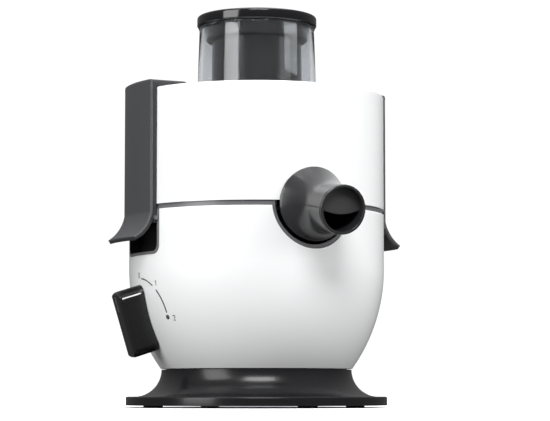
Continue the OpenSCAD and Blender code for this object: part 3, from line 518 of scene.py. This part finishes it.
# ---------------------------------------------------------------- Feed chute and pusher
# The chute is a clear smoke-tinted tube that passes through the lid cover and hangs from a flange
# under it. The pusher is a hollow dark stem with a foot disc, capped by a thick black lid.
chute_low, chute_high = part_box("feed_chute")
bore_r = 51.0 * MM
low_r, top_r = 56.5 * MM, 54.5 * MM
under_z = lid_high.z - wall
rim_z = chute_high.z
chute = turned("feed_chute_tube", outline(
    (bore_r, chute_low.z), (bore_r + wall, chute_low.z), (bore_r + wall, under_z - wall),
    (low_r + 13 * MM, under_z - wall), (low_r + 13 * MM, under_z),
    (low_r, under_z), (low_r, lid_high.z + 4 * MM),
    (top_r, rim_z - 3 * MM), arc((top_r, rim_z - 1.5 * MM), 0.8 * MM, -70, 70, 8),
    arc((top_r - 1.2 * MM, rim_z - 1.0 * MM), 1.0 * MM, 10, 90, 6),
    arc((bore_r + 0.8 * MM, rim_z - 0.8 * MM), 0.8 * MM, 90, 180, 6)), 224, 0)
smoke_clear = finish("smoke_clear", (0.62, 0.64, 0.66), 0.02, 0.03, 0.01, 300.0, 0.0,
                     Transmission_Weight=1.0, IOR=1.49)
dress(chute, smoke_clear)
fit(chute, "base", "smoked_clear", "feed_chute")

stem_low, stem_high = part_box("pusher_stem")
cap_low, cap_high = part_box("pusher_cap")
stem_r, stem_wall, foot_r = 42.5 * MM, 2.5 * MM, stem_high.x
stem = turned("pusher_tube", outline(
    (0, stem_low.z), arc((foot_r - 1 * MM, stem_low.z + 1 * MM), 1 * MM, -90, 0, 5),
    arc((foot_r - 0.6 * MM, stem_low.z + 3.4 * MM), 0.6 * MM, 0, 90, 4),
    (stem_r + 2 * MM, stem_low.z + 4 * MM),
    arc((stem_r + 2 * MM, stem_low.z + 6 * MM), 2 * MM, 270, 180, 6), (stem_r, stem_high.z),
    (stem_r - stem_wall, stem_high.z), (stem_r - stem_wall, stem_low.z + stem_wall),
    (0, stem_low.z + stem_wall)), 192, 0)
stem_grey = finish("stem_grey", (0.015, 0.015, 0.016), 0.08, 0.2, 0.05, 900.0, 0.02,
                   Specular_IOR_Level=0.35)
dress(stem, stem_grey)
fit(stem, "pusher", "dark_gloss", "pusher_stem")

cap_r, cap_z, top_z = cap_high.x, cap_high.z - 9.6 * MM, cap_high.z
collar_r, cap_edge_r = 48.8 * MM, 2.6 * MM
cap = turned("pusher_lid", outline(
    (stem_r + 0.1 * MM, cap_low.z), arc((collar_r - 0.8 * MM, cap_low.z + 0.8 * MM), 0.8 * MM, -90, 0, 5),
    (collar_r, cap_z - 0.6 * MM), (collar_r + 0.6 * MM, cap_z),
    arc((cap_r - 1 * MM, cap_z + 1 * MM), 1 * MM, 270, 360, 6),
    arc((cap_r - cap_edge_r, top_z - cap_edge_r), cap_edge_r, 0, 90, 12),
    arc((cap_r - 9 * MM, top_z - 1.5 * MM), 1.5 * MM, 90, 130, 4), (cap_r - 11 * MM, top_z - 1.2 * MM),
    (cap_r - 30 * MM, top_z - 1.6 * MM), (0, top_z - 1.8 * MM), (0, cap_z),
    (stem_r + 0.1 * MM, cap_z)), 192, 0)
cap_black = finish("cap_black", (0.006, 0.006, 0.007), 0.12, 0.1, 0.03, 800.0, 0.012, coat=0.1,
                   Coat_Roughness=0.05)
dress(cap, cap_black)
fit(cap, "pusher", "black_plastic", "pusher_cap")

# ---------------------------------------------------------------- Spout
# A grey gloss moulding: a tube that tilts down, a concave flare behind it and a round flange that
# is saddled onto the drum. A half-round plate behind the mouth keeps the juice from splashing.
spout_r, spout_bore_r = 22.0 * MM, 19.5 * MM
bowl_r = 86.0 * MM
axis_out = np.array([0.0, -np.cos(spout_tilt), -np.sin(spout_tilt)])
axis_up = np.array([0.0, -np.sin(spout_tilt), np.cos(spout_tilt)])


def from_mouth(across, up, out):
    """The point that lies across, up and out from the centre of the spout's mouth."""
    point = spout_mouth + np.multiply.outer(up, axis_up) + np.multiply.outer(out, axis_out)
    point[..., 0] += across
    return point


def spout_shell():
    """Closed columns round the spout's axis: out along the bore, round the grooved rim, back over the
    tube and an arc of 36 mm that is pulled onto the drum's saddle, and in to the bowl."""
    turn = np.linspace(0, 2 * np.pi, 160, endpoint=False)
    cos, sin = np.cos(turn), np.sin(turn)
    reach = -(spout_mouth[1] + bowl_r) / np.cos(spout_tilt) - 1.5 * MM
    rim = arc((spout_r - 0.9 * MM, -0.9 * MM), 0.9 * MM, 90, 0, 6)
    groove = outline((spout_r, -2.0 * MM), (spout_r - 0.4 * MM, -2.4 * MM), (spout_r - 0.4 * MM, -2.9 * MM),
                     (spout_r, -3.3 * MM))
    tube = outline((spout_bore_r, -reach), (spout_bore_r, -40 * MM), (spout_bore_r, -12 * MM),
                   (spout_bore_r, -3 * MM),
                   arc((spout_bore_r + 0.4 * MM, -0.4 * MM), 0.4 * MM, 180, 90, 3), rim, groove,
                   (spout_r, -8 * MM), (spout_r, -14 * MM), (spout_r, -20 * MM))
    rows = [from_mouth(r * cos, r * sin, np.full_like(cos, w)) for r, w in tube]
    centre_z = spout_mouth[2] - (spout_mouth[1] + body_r) * np.tan(spout_tilt)

    def saddle(ring_r, off):
        """The ring about the flange's level axis that lies off the drum by that much."""
        y = -np.sqrt((body_r + off) ** 2 - (ring_r * cos) ** 2)
        return np.stack([ring_r * cos, y, centre_z + ring_r * sin], -1)

    flare = arc((spout_r + 36 * MM, -24 * MM), 36 * MM, 180, 226.5, 24)
    end_r, end_w = flare[-1]
    end = from_mouth(end_r * cos, end_r * sin, np.full_like(cos, end_w))
    pull = saddle(flange_r - 0.4 * MM, 2.2 * MM) - end
    for share, (r, w) in zip(np.linspace(0, 1, len(flare)), flare):
        rows.append(from_mouth(r * cos, r * sin, np.full_like(cos, w)) + share ** 2.5 * pull)
    rows += [saddle(flange_r, 1.7 * MM), saddle(flange_r, 0.4 * MM), saddle(flange_r - 3 * MM, 0.4 * MM)]
    for w in (-57 * MM, -reach):
        rows.append(from_mouth(spout_r * cos, spout_r * sin, np.full_like(cos, w)))
    rows = np.stack(rows)
    return rows, grid_faces(len(rows), len(turn), True, True)


def splash_plate():
    """Across and up inside the bore, above an arc of 45 mm that bulges downward."""
    across = (spout_bore_r + 0.3 * MM) * np.sin(np.linspace(-np.pi / 2, np.pi / 2, 41))[:, None]
    low = 40.5 * MM - np.sqrt((45 * MM) ** 2 - across ** 2)
    high = np.sqrt(np.maximum((spout_bore_r + 0.31 * MM) ** 2 - across ** 2, 0))
    up = low + np.linspace(0, 1, 12) * np.maximum(high - low, 0)
    points = from_mouth(np.broadcast_to(across, up.shape), up, np.full_like(up, -7 * MM))
    return points, np.array(grid_faces(*up.shape))


spout_tube = soften(mesh_object("spout_tube", *spout_shell()), 0.3 * MM)
plate = walled("splash_plate", *splash_plate(), 2 * MM, 0.3 * MM)
spout_grey = finish("spout_grey", (0.024, 0.024, 0.026), 0.08, 0.2, 0.04, 700.0, 0.015, coat=0.15,
                    Coat_Roughness=0.12)
baffle_grey = finish("baffle_grey", (0.05, 0.05, 0.052), 0.08, 0.4, 0.05, 900.0, 0.03)
dress(spout_tube, spout_grey)
dress(plate, baffle_grey)
fit(spout_tube, "base", "grey_gloss", "spout")
fit(plate, "base", "grey_gloss")

# ---------------------------------------------------------------- Clamps
# Two swing clamps hold the lid cover down. Each has a dark inner arm that turns on a steel pin in
# its well, and a grey outer cover that wraps the drum, hooks over the lid and ends in a finger lever.
clamp_half_w = 31.5 * MM
clamp_top_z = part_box("left_clamp_cover")[1].z
clamp_out_r = body_r + 6 * MM
skin_in_r = clamp_out_r - 2.4 * MM
hook_in_r = body_r - 28.5 * MM
lever_centre = (160.235 * MM, 184.277 * MM)
lever_arc_r, lever_end = 35 * MM, 58
clamp_low_z = lever_centre[1] - (lever_arc_r + 4.1 * MM) * np.sin(np.radians(lever_end)) - 1 * MM


def refined(points, step):
    """A closed outline with points added so that no side is longer than step."""
    result = []
    for start, end in zip(points, np.roll(points, -1, 0)):
        count = max(1, int(np.ceil(np.linalg.norm(end - start) / step)))
        result.append(start + (end - start) * np.linspace(0, 1, count, endpoint=False)[:, None])
    return np.concatenate(result)


def clamp_half_width(z):
    """Half width of the clamp at height z: round corners of 6 mm below and 4 mm above."""
    below = np.clip(clamp_low_z + 6 * MM - z, 0, 6 * MM)
    above = np.clip(z - clamp_top_z + 4 * MM, 0, 4 * MM)
    lower = 6 * MM - np.sqrt((6 * MM) ** 2 - below ** 2)
    upper = 4 * MM - np.sqrt((4 * MM) ** 2 - above ** 2)
    return clamp_half_w - lower - upper


def clamp_skin(name, side):
    """A section of (radius, height) carried across Y at constant distance from Z:
    x = sqrt(radius^2 - y^2), with y up to the half width at that height."""
    reach = np.degrees(np.arccos((lever_centre[0] - skin_in_r) / (lever_arc_r + 2.4 * MM)))
    section = refined(outline(
        arc(lever_centre, lever_arc_r, 192, 180 + lever_end, 30),
        arc(lever_centre, lever_arc_r + 2.4 * MM, 180 + lever_end, 180 + reach, 30),
        (skin_in_r, clamp_top_z - 2.4 * MM), (hook_in_r, clamp_top_z - 2.4 * MM), (hook_in_r, clamp_top_z),
        arc((clamp_out_r - 1.8 * MM, clamp_top_z - 1.8 * MM), 1.8 * MM, 90, 0, 8)), 2 * MM)
    r, z = section[:, 0], section[:, 1]
    y = np.linspace(-1, 1, 33)[:, None] * clamp_half_width(z)
    x = side * np.sqrt(r ** 2 - y ** 2)
    return swept(name, np.stack([x, y, np.broadcast_to(z, y.shape)], -1), 0.55 * MM)


# The clamp cover's raised edges get a painted highlight through finish().
clamp_grey = finish("clamp_grey", (0.055, 0.056, 0.06), 0.06, 0.34, 0.05, 1100.0, 0.05, painted_highlight=0.25)
arm_dark = finish("clamp_arm_dark", (0.035, 0.035, 0.037), 0.1, 0.4, 0.06, 1100.0, 0.06)
for word, side in (("left", -1), ("right", 1)):
    skin = clamp_skin(f"{word}_clamp_skin", side)
    dress(skin, clamp_grey)
    fit(skin, f"{word}_clamp", "clamp_grey", f"{word}_clamp_cover")
    dress(nodes[f"{word}_clamp_arm"], arm_dark)

well_black = finish("clamp_well_black", (0.012, 0.012, 0.013), 0.15, 0.5, 0.06, 1200.0, 0.08)
pin_steel = finish("pin_steel", (0.62, 0.62, 0.63), 0.06, 0.22, 0.06, 1800.0, 0.03, metal=1.0)
plunger_red = finish("plunger_red", (0.5, 0.02, 0.015), 0.08, 0.4, 0.06, 1200.0, 0.05)


def well_lip_highlight(material):
    """The rim of the well stands out of the drum by a hair and carries a painted highlight of paler grey."""
    tree = material.node_tree
    shader = tree.nodes["Principled BSDF"]
    dark = Value(tree, shader.inputs["Base Color"].links[0].from_socket)
    place = make(tree, "ShaderNodeTexCoord", {}, {}, "Object")
    flat = make(tree, "ShaderNodeVectorMath", {"operation": "MULTIPLY"},
                {0: place, 1: (1.0, 1.0, 0.0)}, "Vector")
    far = make(tree, "ShaderNodeVectorMath", {"operation": "LENGTH"}, {0: flat}, "Value") > body_r - 0.2 * MM
    # Painted highlight: paler grey wherever the surface lies farther out than the drum's skin.
    base = make(tree, "ShaderNodeMix", {"data_type": "RGBA"},
                {0: far, 6: dark, 7: (0.14, 0.14, 0.145, 1.0)}, 2)
    tree.links.new(base.socket, shader.inputs["Base Color"])


well_lip_highlight(well_black)
for word in ("left", "right"):
    dress(nodes[f"{word}_clamp_recess"], well_black)
    dress(nodes[f"{word}_clamp_pin"], pin_steel)
dress(nodes["interlock_plunger"], plunger_red)

# ---------------------------------------------------------------- Speed knob
# A black bar with round ends, pressed on the switch's spindle and turned by a quarter turn. Its
# underside is hollowed to clear the drum, a thin strip on its outer face is painted shade in place of a groove,
# and a white line marks its side.
knob_z = 82.0 * MM
knob_tilt = np.arcsin((belly_z - knob_z) / belly_arc_r)
knob_at_r = body_r - belly_arc_r + belly_arc_r * np.cos(knob_tilt)
knob_l, knob_w, knob_h = 62.5 * MM, 17.5 * MM, 24.0 * MM
knob_up = np.array([-np.sin(knob_tilt), 0.0, np.cos(knob_tilt)])
knob_out = np.array([-np.cos(knob_tilt), 0.0, -np.sin(knob_tilt)])
knob_foot = np.array([-knob_at_r, 0.0, knob_z])


def on_knob(x, y, z):
    """The point x up along the housing, y along the drum's turn and z out from it."""
    x, y, z = np.broadcast_arrays(x, y, z)
    point = knob_foot + np.multiply.outer(x, knob_up) + np.multiply.outer(z, knob_out)
    point[..., 1] += y
    return point


def crown(across, length, edge):
    """Height of a face knob_h up, with an edge that is a quarter circle at each end of length."""
    over = np.clip(np.abs(across) - (length / 2 - edge), 0, edge)
    return knob_h - edge + np.sqrt(edge ** 2 - over ** 2)


def knob_top(x, y):
    """The lower of the two crowned faces, lengthwise and across."""
    return np.minimum(crown(x, knob_l, 4 * MM), crown(y, knob_w, 2.5 * MM))


def knob_shell():
    """Rings of a long oval: in under the bar from its middle line, up its wall and over the top."""
    turn = np.linspace(0, 2 * np.pi, 128, endpoint=False)
    half = (knob_l - knob_w) / 2

    def oval(inset):
        radius = knob_w / 2 - inset
        around = turn / (2 * np.pi) * 4
        quarter = np.floor(around).astype(int) % 4
        part = around - np.floor(around)
        straight = np.where(quarter == 1, np.pi / 2, -np.pi / 2)
        angle = np.where(quarter % 2 == 0, (part - 0.5) * np.pi, straight)
        x = np.where(quarter == 0, half + radius * np.cos(angle), 0.0)
        x = np.where(quarter == 2, -half - radius * np.cos(angle), x)
        x = np.where(quarter == 1, half - 2 * half * part, x)
        x = np.where(quarter == 3, -half + 2 * half * part, x)
        y = np.where(quarter == 0, radius * np.sin(angle), 0.0)
        y = np.where(quarter == 2, -radius * np.sin(angle), y)
        y = np.where(quarter == 1, radius, y)
        return x, np.where(quarter == 3, -radius, y)

    clear_r = belly_arc_r + 0.6 * MM
    rows = []
    for inset in np.linspace(knob_w / 2, 0, 8):
        x, y = oval(inset)
        rows.append(on_knob(x, y, np.sqrt(clear_r ** 2 - x ** 2 - y ** 2) - belly_arc_r))
    x, y = oval(0)
    foot = np.sqrt(clear_r ** 2 - x ** 2 - y ** 2) - belly_arc_r
    for share in np.linspace(0, 1, 12)[1:]:
        rows.append(on_knob(x, y, foot + share * (knob_top(x, y) - foot)))
    curve = 4 * MM * (1 - np.cos(np.radians(np.linspace(0, 90, 13)[1:])))
    for inset in np.concatenate([curve, np.linspace(5 * MM, knob_w / 2, 4)]):
        x, y = oval(inset)
        rows.append(on_knob(x, y, knob_top(x, y)))
    return np.stack(rows), grid_faces(len(rows), len(turn), False, True)


knob = soften(mesh_object("knob_bar", *knob_shell()), 0.25 * MM, 2, 50)
# The knob's raised edges get a painted highlight through finish().
knob_black = finish("knob_black", (0.01, 0.01, 0.011), 0.12, 0.22, 0.06, 1000.0, 0.05, painted_highlight=0.15)
dress(knob, knob_black)
fit(knob, "knob", "black_plastic", "speed_knob")
dress(nodes["knob_spindle"], pin_steel)


def stroke(name, path, width, place, thickness=0.06 * MM):
    """A printed line: a strip of even width with round ends along a flat path, laid on a surface by
    place(u, v) and given the thickness of its ink."""
    path = np.asarray(path, float)
    step = np.gradient(path, axis=0)
    step /= np.linalg.norm(step, axis=1)[:, None]
    run = np.concatenate([[0], np.cumsum(np.linalg.norm(np.diff(path, axis=0), axis=1))])
    inside = np.clip(np.minimum(run, run[-1] - run), 0, width / 2)
    half = np.sqrt(np.maximum((width / 2) ** 2 - (width / 2 - inside) ** 2, 0))
    across = np.linspace(-1, 1, 5)[None, :] * half[:, None]
    u = path[:, :1] - step[:, 1:] * across
    v = path[:, 1:] + step[:, :1] * across
    rows = place(u, v)
    line = mesh_object(name, rows, grid_faces(*u.shape))
    ink = line.modifiers.new("ink", "SOLIDIFY")
    ink.thickness = thickness
    ink.offset = 0.0
    return line


def eased(start, end, count=33):
    """A straight path whose points crowd at both ends, so that round ends come out round."""
    share = (1 - np.cos(np.linspace(0, np.pi, count))) / 2
    return np.asarray(start) + np.outer(share, np.asarray(end) - np.asarray(start))


def knob_side(u, v):
    """The knob's side wall towards the spout: u up along the bar, v out from the housing."""
    over = np.maximum(np.abs(u) - (knob_l - knob_w) / 2, 0)
    y = -np.sqrt((knob_w / 2) ** 2 - over ** 2) - 0.02 * MM
    return on_knob(u, y, v)


def knob_face(u, v):
    """The knob's outer face."""
    return on_knob(u, v, knob_top(u, v) + 0.02 * MM)


marker = stroke("knob_marker", eased((24 * MM, 1.5 * MM), (24 * MM, 21.0 * MM)), 1.3 * MM, knob_side)
print_white = finish("print_white", (0.85, 0.85, 0.85), 0.03, 0.5, 0.05, 1500.0, 0.0)
dress(marker, print_white)
fit(marker, "knob", "white_gloss")
# Painted shade: a thin strip of the clamp wells' material on the outer face stands where a groove's shade would
# be.
groove = stroke("knob_groove", eased((12.5 * MM, 0), (27 * MM, 0)), 1.3 * MM, knob_face)
dress(groove, well_black)
fit(groove, "knob", "black_plastic")

# ---------------------------------------------------------------- Dial print
# The scale is pad-printed on the housing in dark grey round the knob: off, one, two, joined by two
# arcs that grow towards the higher speed.
dial_r = 37.0 * MM


def on_housing(u, v):
    """The housing's skin by lengths from the knob's foot: u up along the belly arc, v round it."""
    angle = knob_tilt - u / belly_arc_r
    radius = body_r - belly_arc_r + (belly_arc_r + 0.04 * MM) * np.cos(angle)
    around = v / knob_at_r
    height = belly_z - belly_arc_r * np.sin(angle)
    return np.stack([-radius * np.cos(around), radius * np.sin(around), height], -1)


def dial(angle, radius=dial_r):
    """The place at that angle from straight up, towards the spout, at that radius from the knob."""
    angle = np.radians(angle)
    return np.stack([radius * np.cos(angle), -radius * np.sin(angle)], -1)


def glyph(name, centre, strokes):
    """A numeral 5 mm high: strokes in units of its half height, across and up."""
    size = 2.4 * MM
    turn_up = [np.stack([centre[0] + size * s[:, 1], centre[1] - size * s[:, 0]], -1) for s in strokes]
    return [stroke(f"{name}_{i}", s, 0.75 * MM, on_housing) for i, s in enumerate(turn_up)]


round_turn = np.radians(np.linspace(0, 360, 49))
zero = [np.stack([0.55 * np.sin(round_turn), 0.95 * np.cos(round_turn)], -1)]
one = [eased((0.1, -1.0), (0.1, 1.0)), eased((0.1, 0.95), (-0.35, 0.55))]
bow = np.radians(np.linspace(170, -40, 25))
two = [np.concatenate([np.stack([0.5 * np.cos(bow), 0.42 + 0.5 * np.sin(bow)], -1), [(-0.5, -0.95)]]),
       eased((-0.5, -0.95), (0.6, -0.95))]
marks = [stroke("dial_arc_low", dial(np.linspace(6, 38, 41)), 1.2 * MM, on_housing),
         stroke("dial_arc_high", dial(np.linspace(46, 84, 41)), 1.5 * MM, on_housing),
         stroke("dial_dot", eased(dial(90) - (0, 2.2 * MM), dial(90) + (0, 2.2 * MM)), 4.4 * MM, on_housing)]
marks += glyph("dial_zero", dial(0, dial_r + 3 * MM), zero)
marks += glyph("dial_one", dial(41, dial_r + 5 * MM), one)
marks += glyph("dial_two", dial(91, dial_r + 8 * MM), two)
print_grey = finish("print_grey", (0.06, 0.06, 0.065), 0.1, 0.5, 0.05, 1500.0, 0.0)
for mark in marks:
    dress(mark, print_grey)
    fit(mark, "base", "dark_gloss")

# ---------------------------------------------------------------- Motor
# A universal motor on four long bolts between two cast brackets: laminated cores, enamelled copper
# coils, sintered bronze bushes, carbon brushes in brass boxes, and a moulded fan under it.
def ringed(name, colour, rough, pitch_mm, depth, metal=1.0, along="Z", **fixed):
    """Metal with fine even lines, as laminations stack or a lathe leaves them."""
    material = finish(name, colour, 0.08, rough, 0.06, 1500.0, 0.0, metal=metal, **fixed)
    tree = material.node_tree
    shader = tree.nodes["Principled BSDF"]
    place = make(tree, "ShaderNodeTexCoord", {}, {}, "Object")
    if along == "Z":
        run = make(tree, "ShaderNodeSeparateXYZ", {}, {0: place}, "Z")
    else:
        flat = make(tree, "ShaderNodeVectorMath", {"operation": "MULTIPLY"},
                    {0: place, 1: (1.0, 1.0, 0.0)}, "Vector")
        run = make(tree, "ShaderNodeVectorMath", {"operation": "LENGTH"}, {0: flat}, "Value")
    wave = make(tree, "ShaderNodeMath", {"operation": "SINE"}, {0: run * (2 * np.pi / (pitch_mm * MM))})
    lift = make(tree, "ShaderNodeBump", {}, {"Height": wave, "Strength": depth, "Distance": 0.0003})
    tree.links.new(lift.socket, shader.inputs["Normal"])
    return material


lamination = ringed("lamination_steel", (0.32, 0.32, 0.34), 0.42, 0.9, 0.6)
copper = ringed("copper_wire", (0.62, 0.2, 0.06), 0.3, 0.8, 0.9)
turned_steel = ringed("turned_steel", (0.62, 0.62, 0.64), 0.24, 0.5, 0.15)
bronze = ringed("sintered_bronze", (0.45, 0.27, 0.11), 0.5, 0.7, 0.2)
cast_alloy = finish("cast_alloy", (0.42, 0.43, 0.44), 0.1, 0.55, 0.1, 900.0, 0.5, metal=0.9)
brass = finish("brass_sheet", (0.6, 0.42, 0.14), 0.08, 0.32, 0.08, 1200.0, 0.08, metal=1.0)
carbon = finish("carbon_block", (0.02, 0.02, 0.021), 0.25, 0.62, 0.1, 3000.0, 0.4)
fan_black = finish("fan_black", (0.02, 0.02, 0.021), 0.12, 0.45, 0.06, 1200.0, 0.12)
damper_rubber = finish("damper_rubber", (0.02, 0.02, 0.02), 0.2, 0.78, 0.08, 2600.0, 0.4)
for name, material in (("stator_core", lamination), ("armature_core", lamination), ("field_coils", copper),
                       ("armature_winding", copper), ("motor_shaft", turned_steel), ("motor_bolts", zinc),
                       ("lower_bearing", bronze), ("upper_bearing", bronze), ("commutator", copper),
                       ("lower_motor_bracket", cast_alloy), ("upper_motor_bracket", cast_alloy),
                       ("brush_holders", brass), ("carbon_brushes", carbon), ("cooling_fan", fan_black),
                       ("motor_dampers", damper_rubber), ("shaft_seal", damper_rubber)):
    dress(nodes[name], material)

# ---------------------------------------------------------------- Controls inside the housing
# The rotary switch behind the knob, the micro-switch that the right clamp presses through its
# plunger, and a green circuit board in two rails at the back with its yellow film capacitor.
switch_black = finish("switch_black", (0.03, 0.031, 0.036), 0.1, 0.42, 0.06, 1500.0, 0.1)
film_yellow = finish("film_yellow", (0.75, 0.5, 0.06), 0.08, 0.38, 0.06, 1400.0, 0.06)
board_green = finish("board_green", (0.02, 0.16, 0.06), 0.15, 0.3, 0.08, 1800.0, 0.1)


def board_tracks(material):
    """Paler tracks under the green lacquer, on a coarse square grid."""
    tree = material.node_tree
    shader = tree.nodes["Principled BSDF"]
    lacquer = Value(tree, shader.inputs["Base Color"].links[0].from_socket)
    place = make(tree, "ShaderNodeTexCoord", {}, {}, "Object")
    upright = make(tree, "ShaderNodeMapping", {}, {"Vector": place, "Rotation": (np.pi / 2, 0.0, 0.0)}, "Vector")
    track = make(tree, "ShaderNodeTexBrick", {"offset": 0.5, "squash": 1.0},
                 {"Vector": upright, "Scale": 90.0, "Mortar Size": 0.06, "Mortar Smooth": 0.2}, "Fac")
    base = make(tree, "ShaderNodeMix", {"data_type": "RGBA"},
                {0: track * 0.6, 6: lacquer, 7: (0.12, 0.36, 0.14, 1.0)}, 2)
    tree.links.new(base.socket, shader.inputs["Base Color"])


board_tracks(board_green)
for name, material in (("speed_switch", switch_black), ("interlock_switch", switch_black),
                       ("control_board", board_green), ("suppressor_capacitor", film_yellow)):
    dress(nodes[name], material)

# ---------------------------------------------------------------- Bowl, basket and pulp container
# The juice bowl stands in the deck's well and the filter basket spins in it: a moulded frame that
# holds a cone of etched steel mesh and a toothed disc. Pulp is thrown over the rim into the container.
deck_grey = finish("deck_grey", (0.09, 0.09, 0.1), 0.08, 0.42, 0.06, 1200.0, 0.12)
bowl_grey = finish("bowl_grey", (0.11, 0.11, 0.12), 0.08, 0.32, 0.05, 1000.0, 0.05)
tub_grey = finish("tub_grey", (0.3, 0.3, 0.32), 0.06, 0.3, 0.05, 1000.0, 0.05)
seal_black = finish("seal_black", (0.025, 0.025, 0.025), 0.15, 0.7, 0.08, 2200.0, 0.25)
frame_grey = finish("basket_frame_grey", (0.07, 0.07, 0.075), 0.1, 0.36, 0.05, 1100.0, 0.06)
etched_steel = finish("etched_steel", (0.6, 0.61, 0.62), 0.05, 0.28, 0.06, 1500.0, 0.04, metal=1.0)
disc_steel = ringed("disc_steel", (0.64, 0.65, 0.66), 0.22, 0.8, 0.25, along="radius")


def etched_holes(material):
    """Round holes 0.9 mm wide, 1.8 mm apart along Z and round it: alpha drops inside each circle."""
    tree = material.node_tree
    shader = tree.nodes["Principled BSDF"]
    place = make(tree, "ShaderNodeTexCoord", {}, {}, "Object")
    x, y, z = (make(tree, "ShaderNodeSeparateXYZ", {}, {0: place}, axis) for axis in "XYZ")
    turn = make(tree, "ShaderNodeMath", {"operation": "ARCTAN2"}, {0: y, 1: x}) * (230 / (2 * np.pi))
    row = z / (1.8 * MM)
    across = make(tree, "ShaderNodeMath", {"operation": "PINGPONG"}, {0: turn, 1: 0.5}) * 1.8
    up = make(tree, "ShaderNodeMath", {"operation": "PINGPONG"}, {0: row, 1: 0.5}) * 1.8
    hole = (across ** 2 + up ** 2) < 0.45 ** 2
    tree.links.new((1.0 - hole).socket, shader.inputs["Alpha"])


etched_holes(etched_steel)
for name, material in (("motor_deck", deck_grey), ("juice_bowl", bowl_grey), ("pulp_container", tub_grey),
                       ("lid_seal", seal_black), ("basket_frame", frame_grey), ("filter_mesh", etched_steel),
                       ("cutting_disc", disc_steel), ("drive_coupling", fan_black)):
    dress(nodes[name], material)
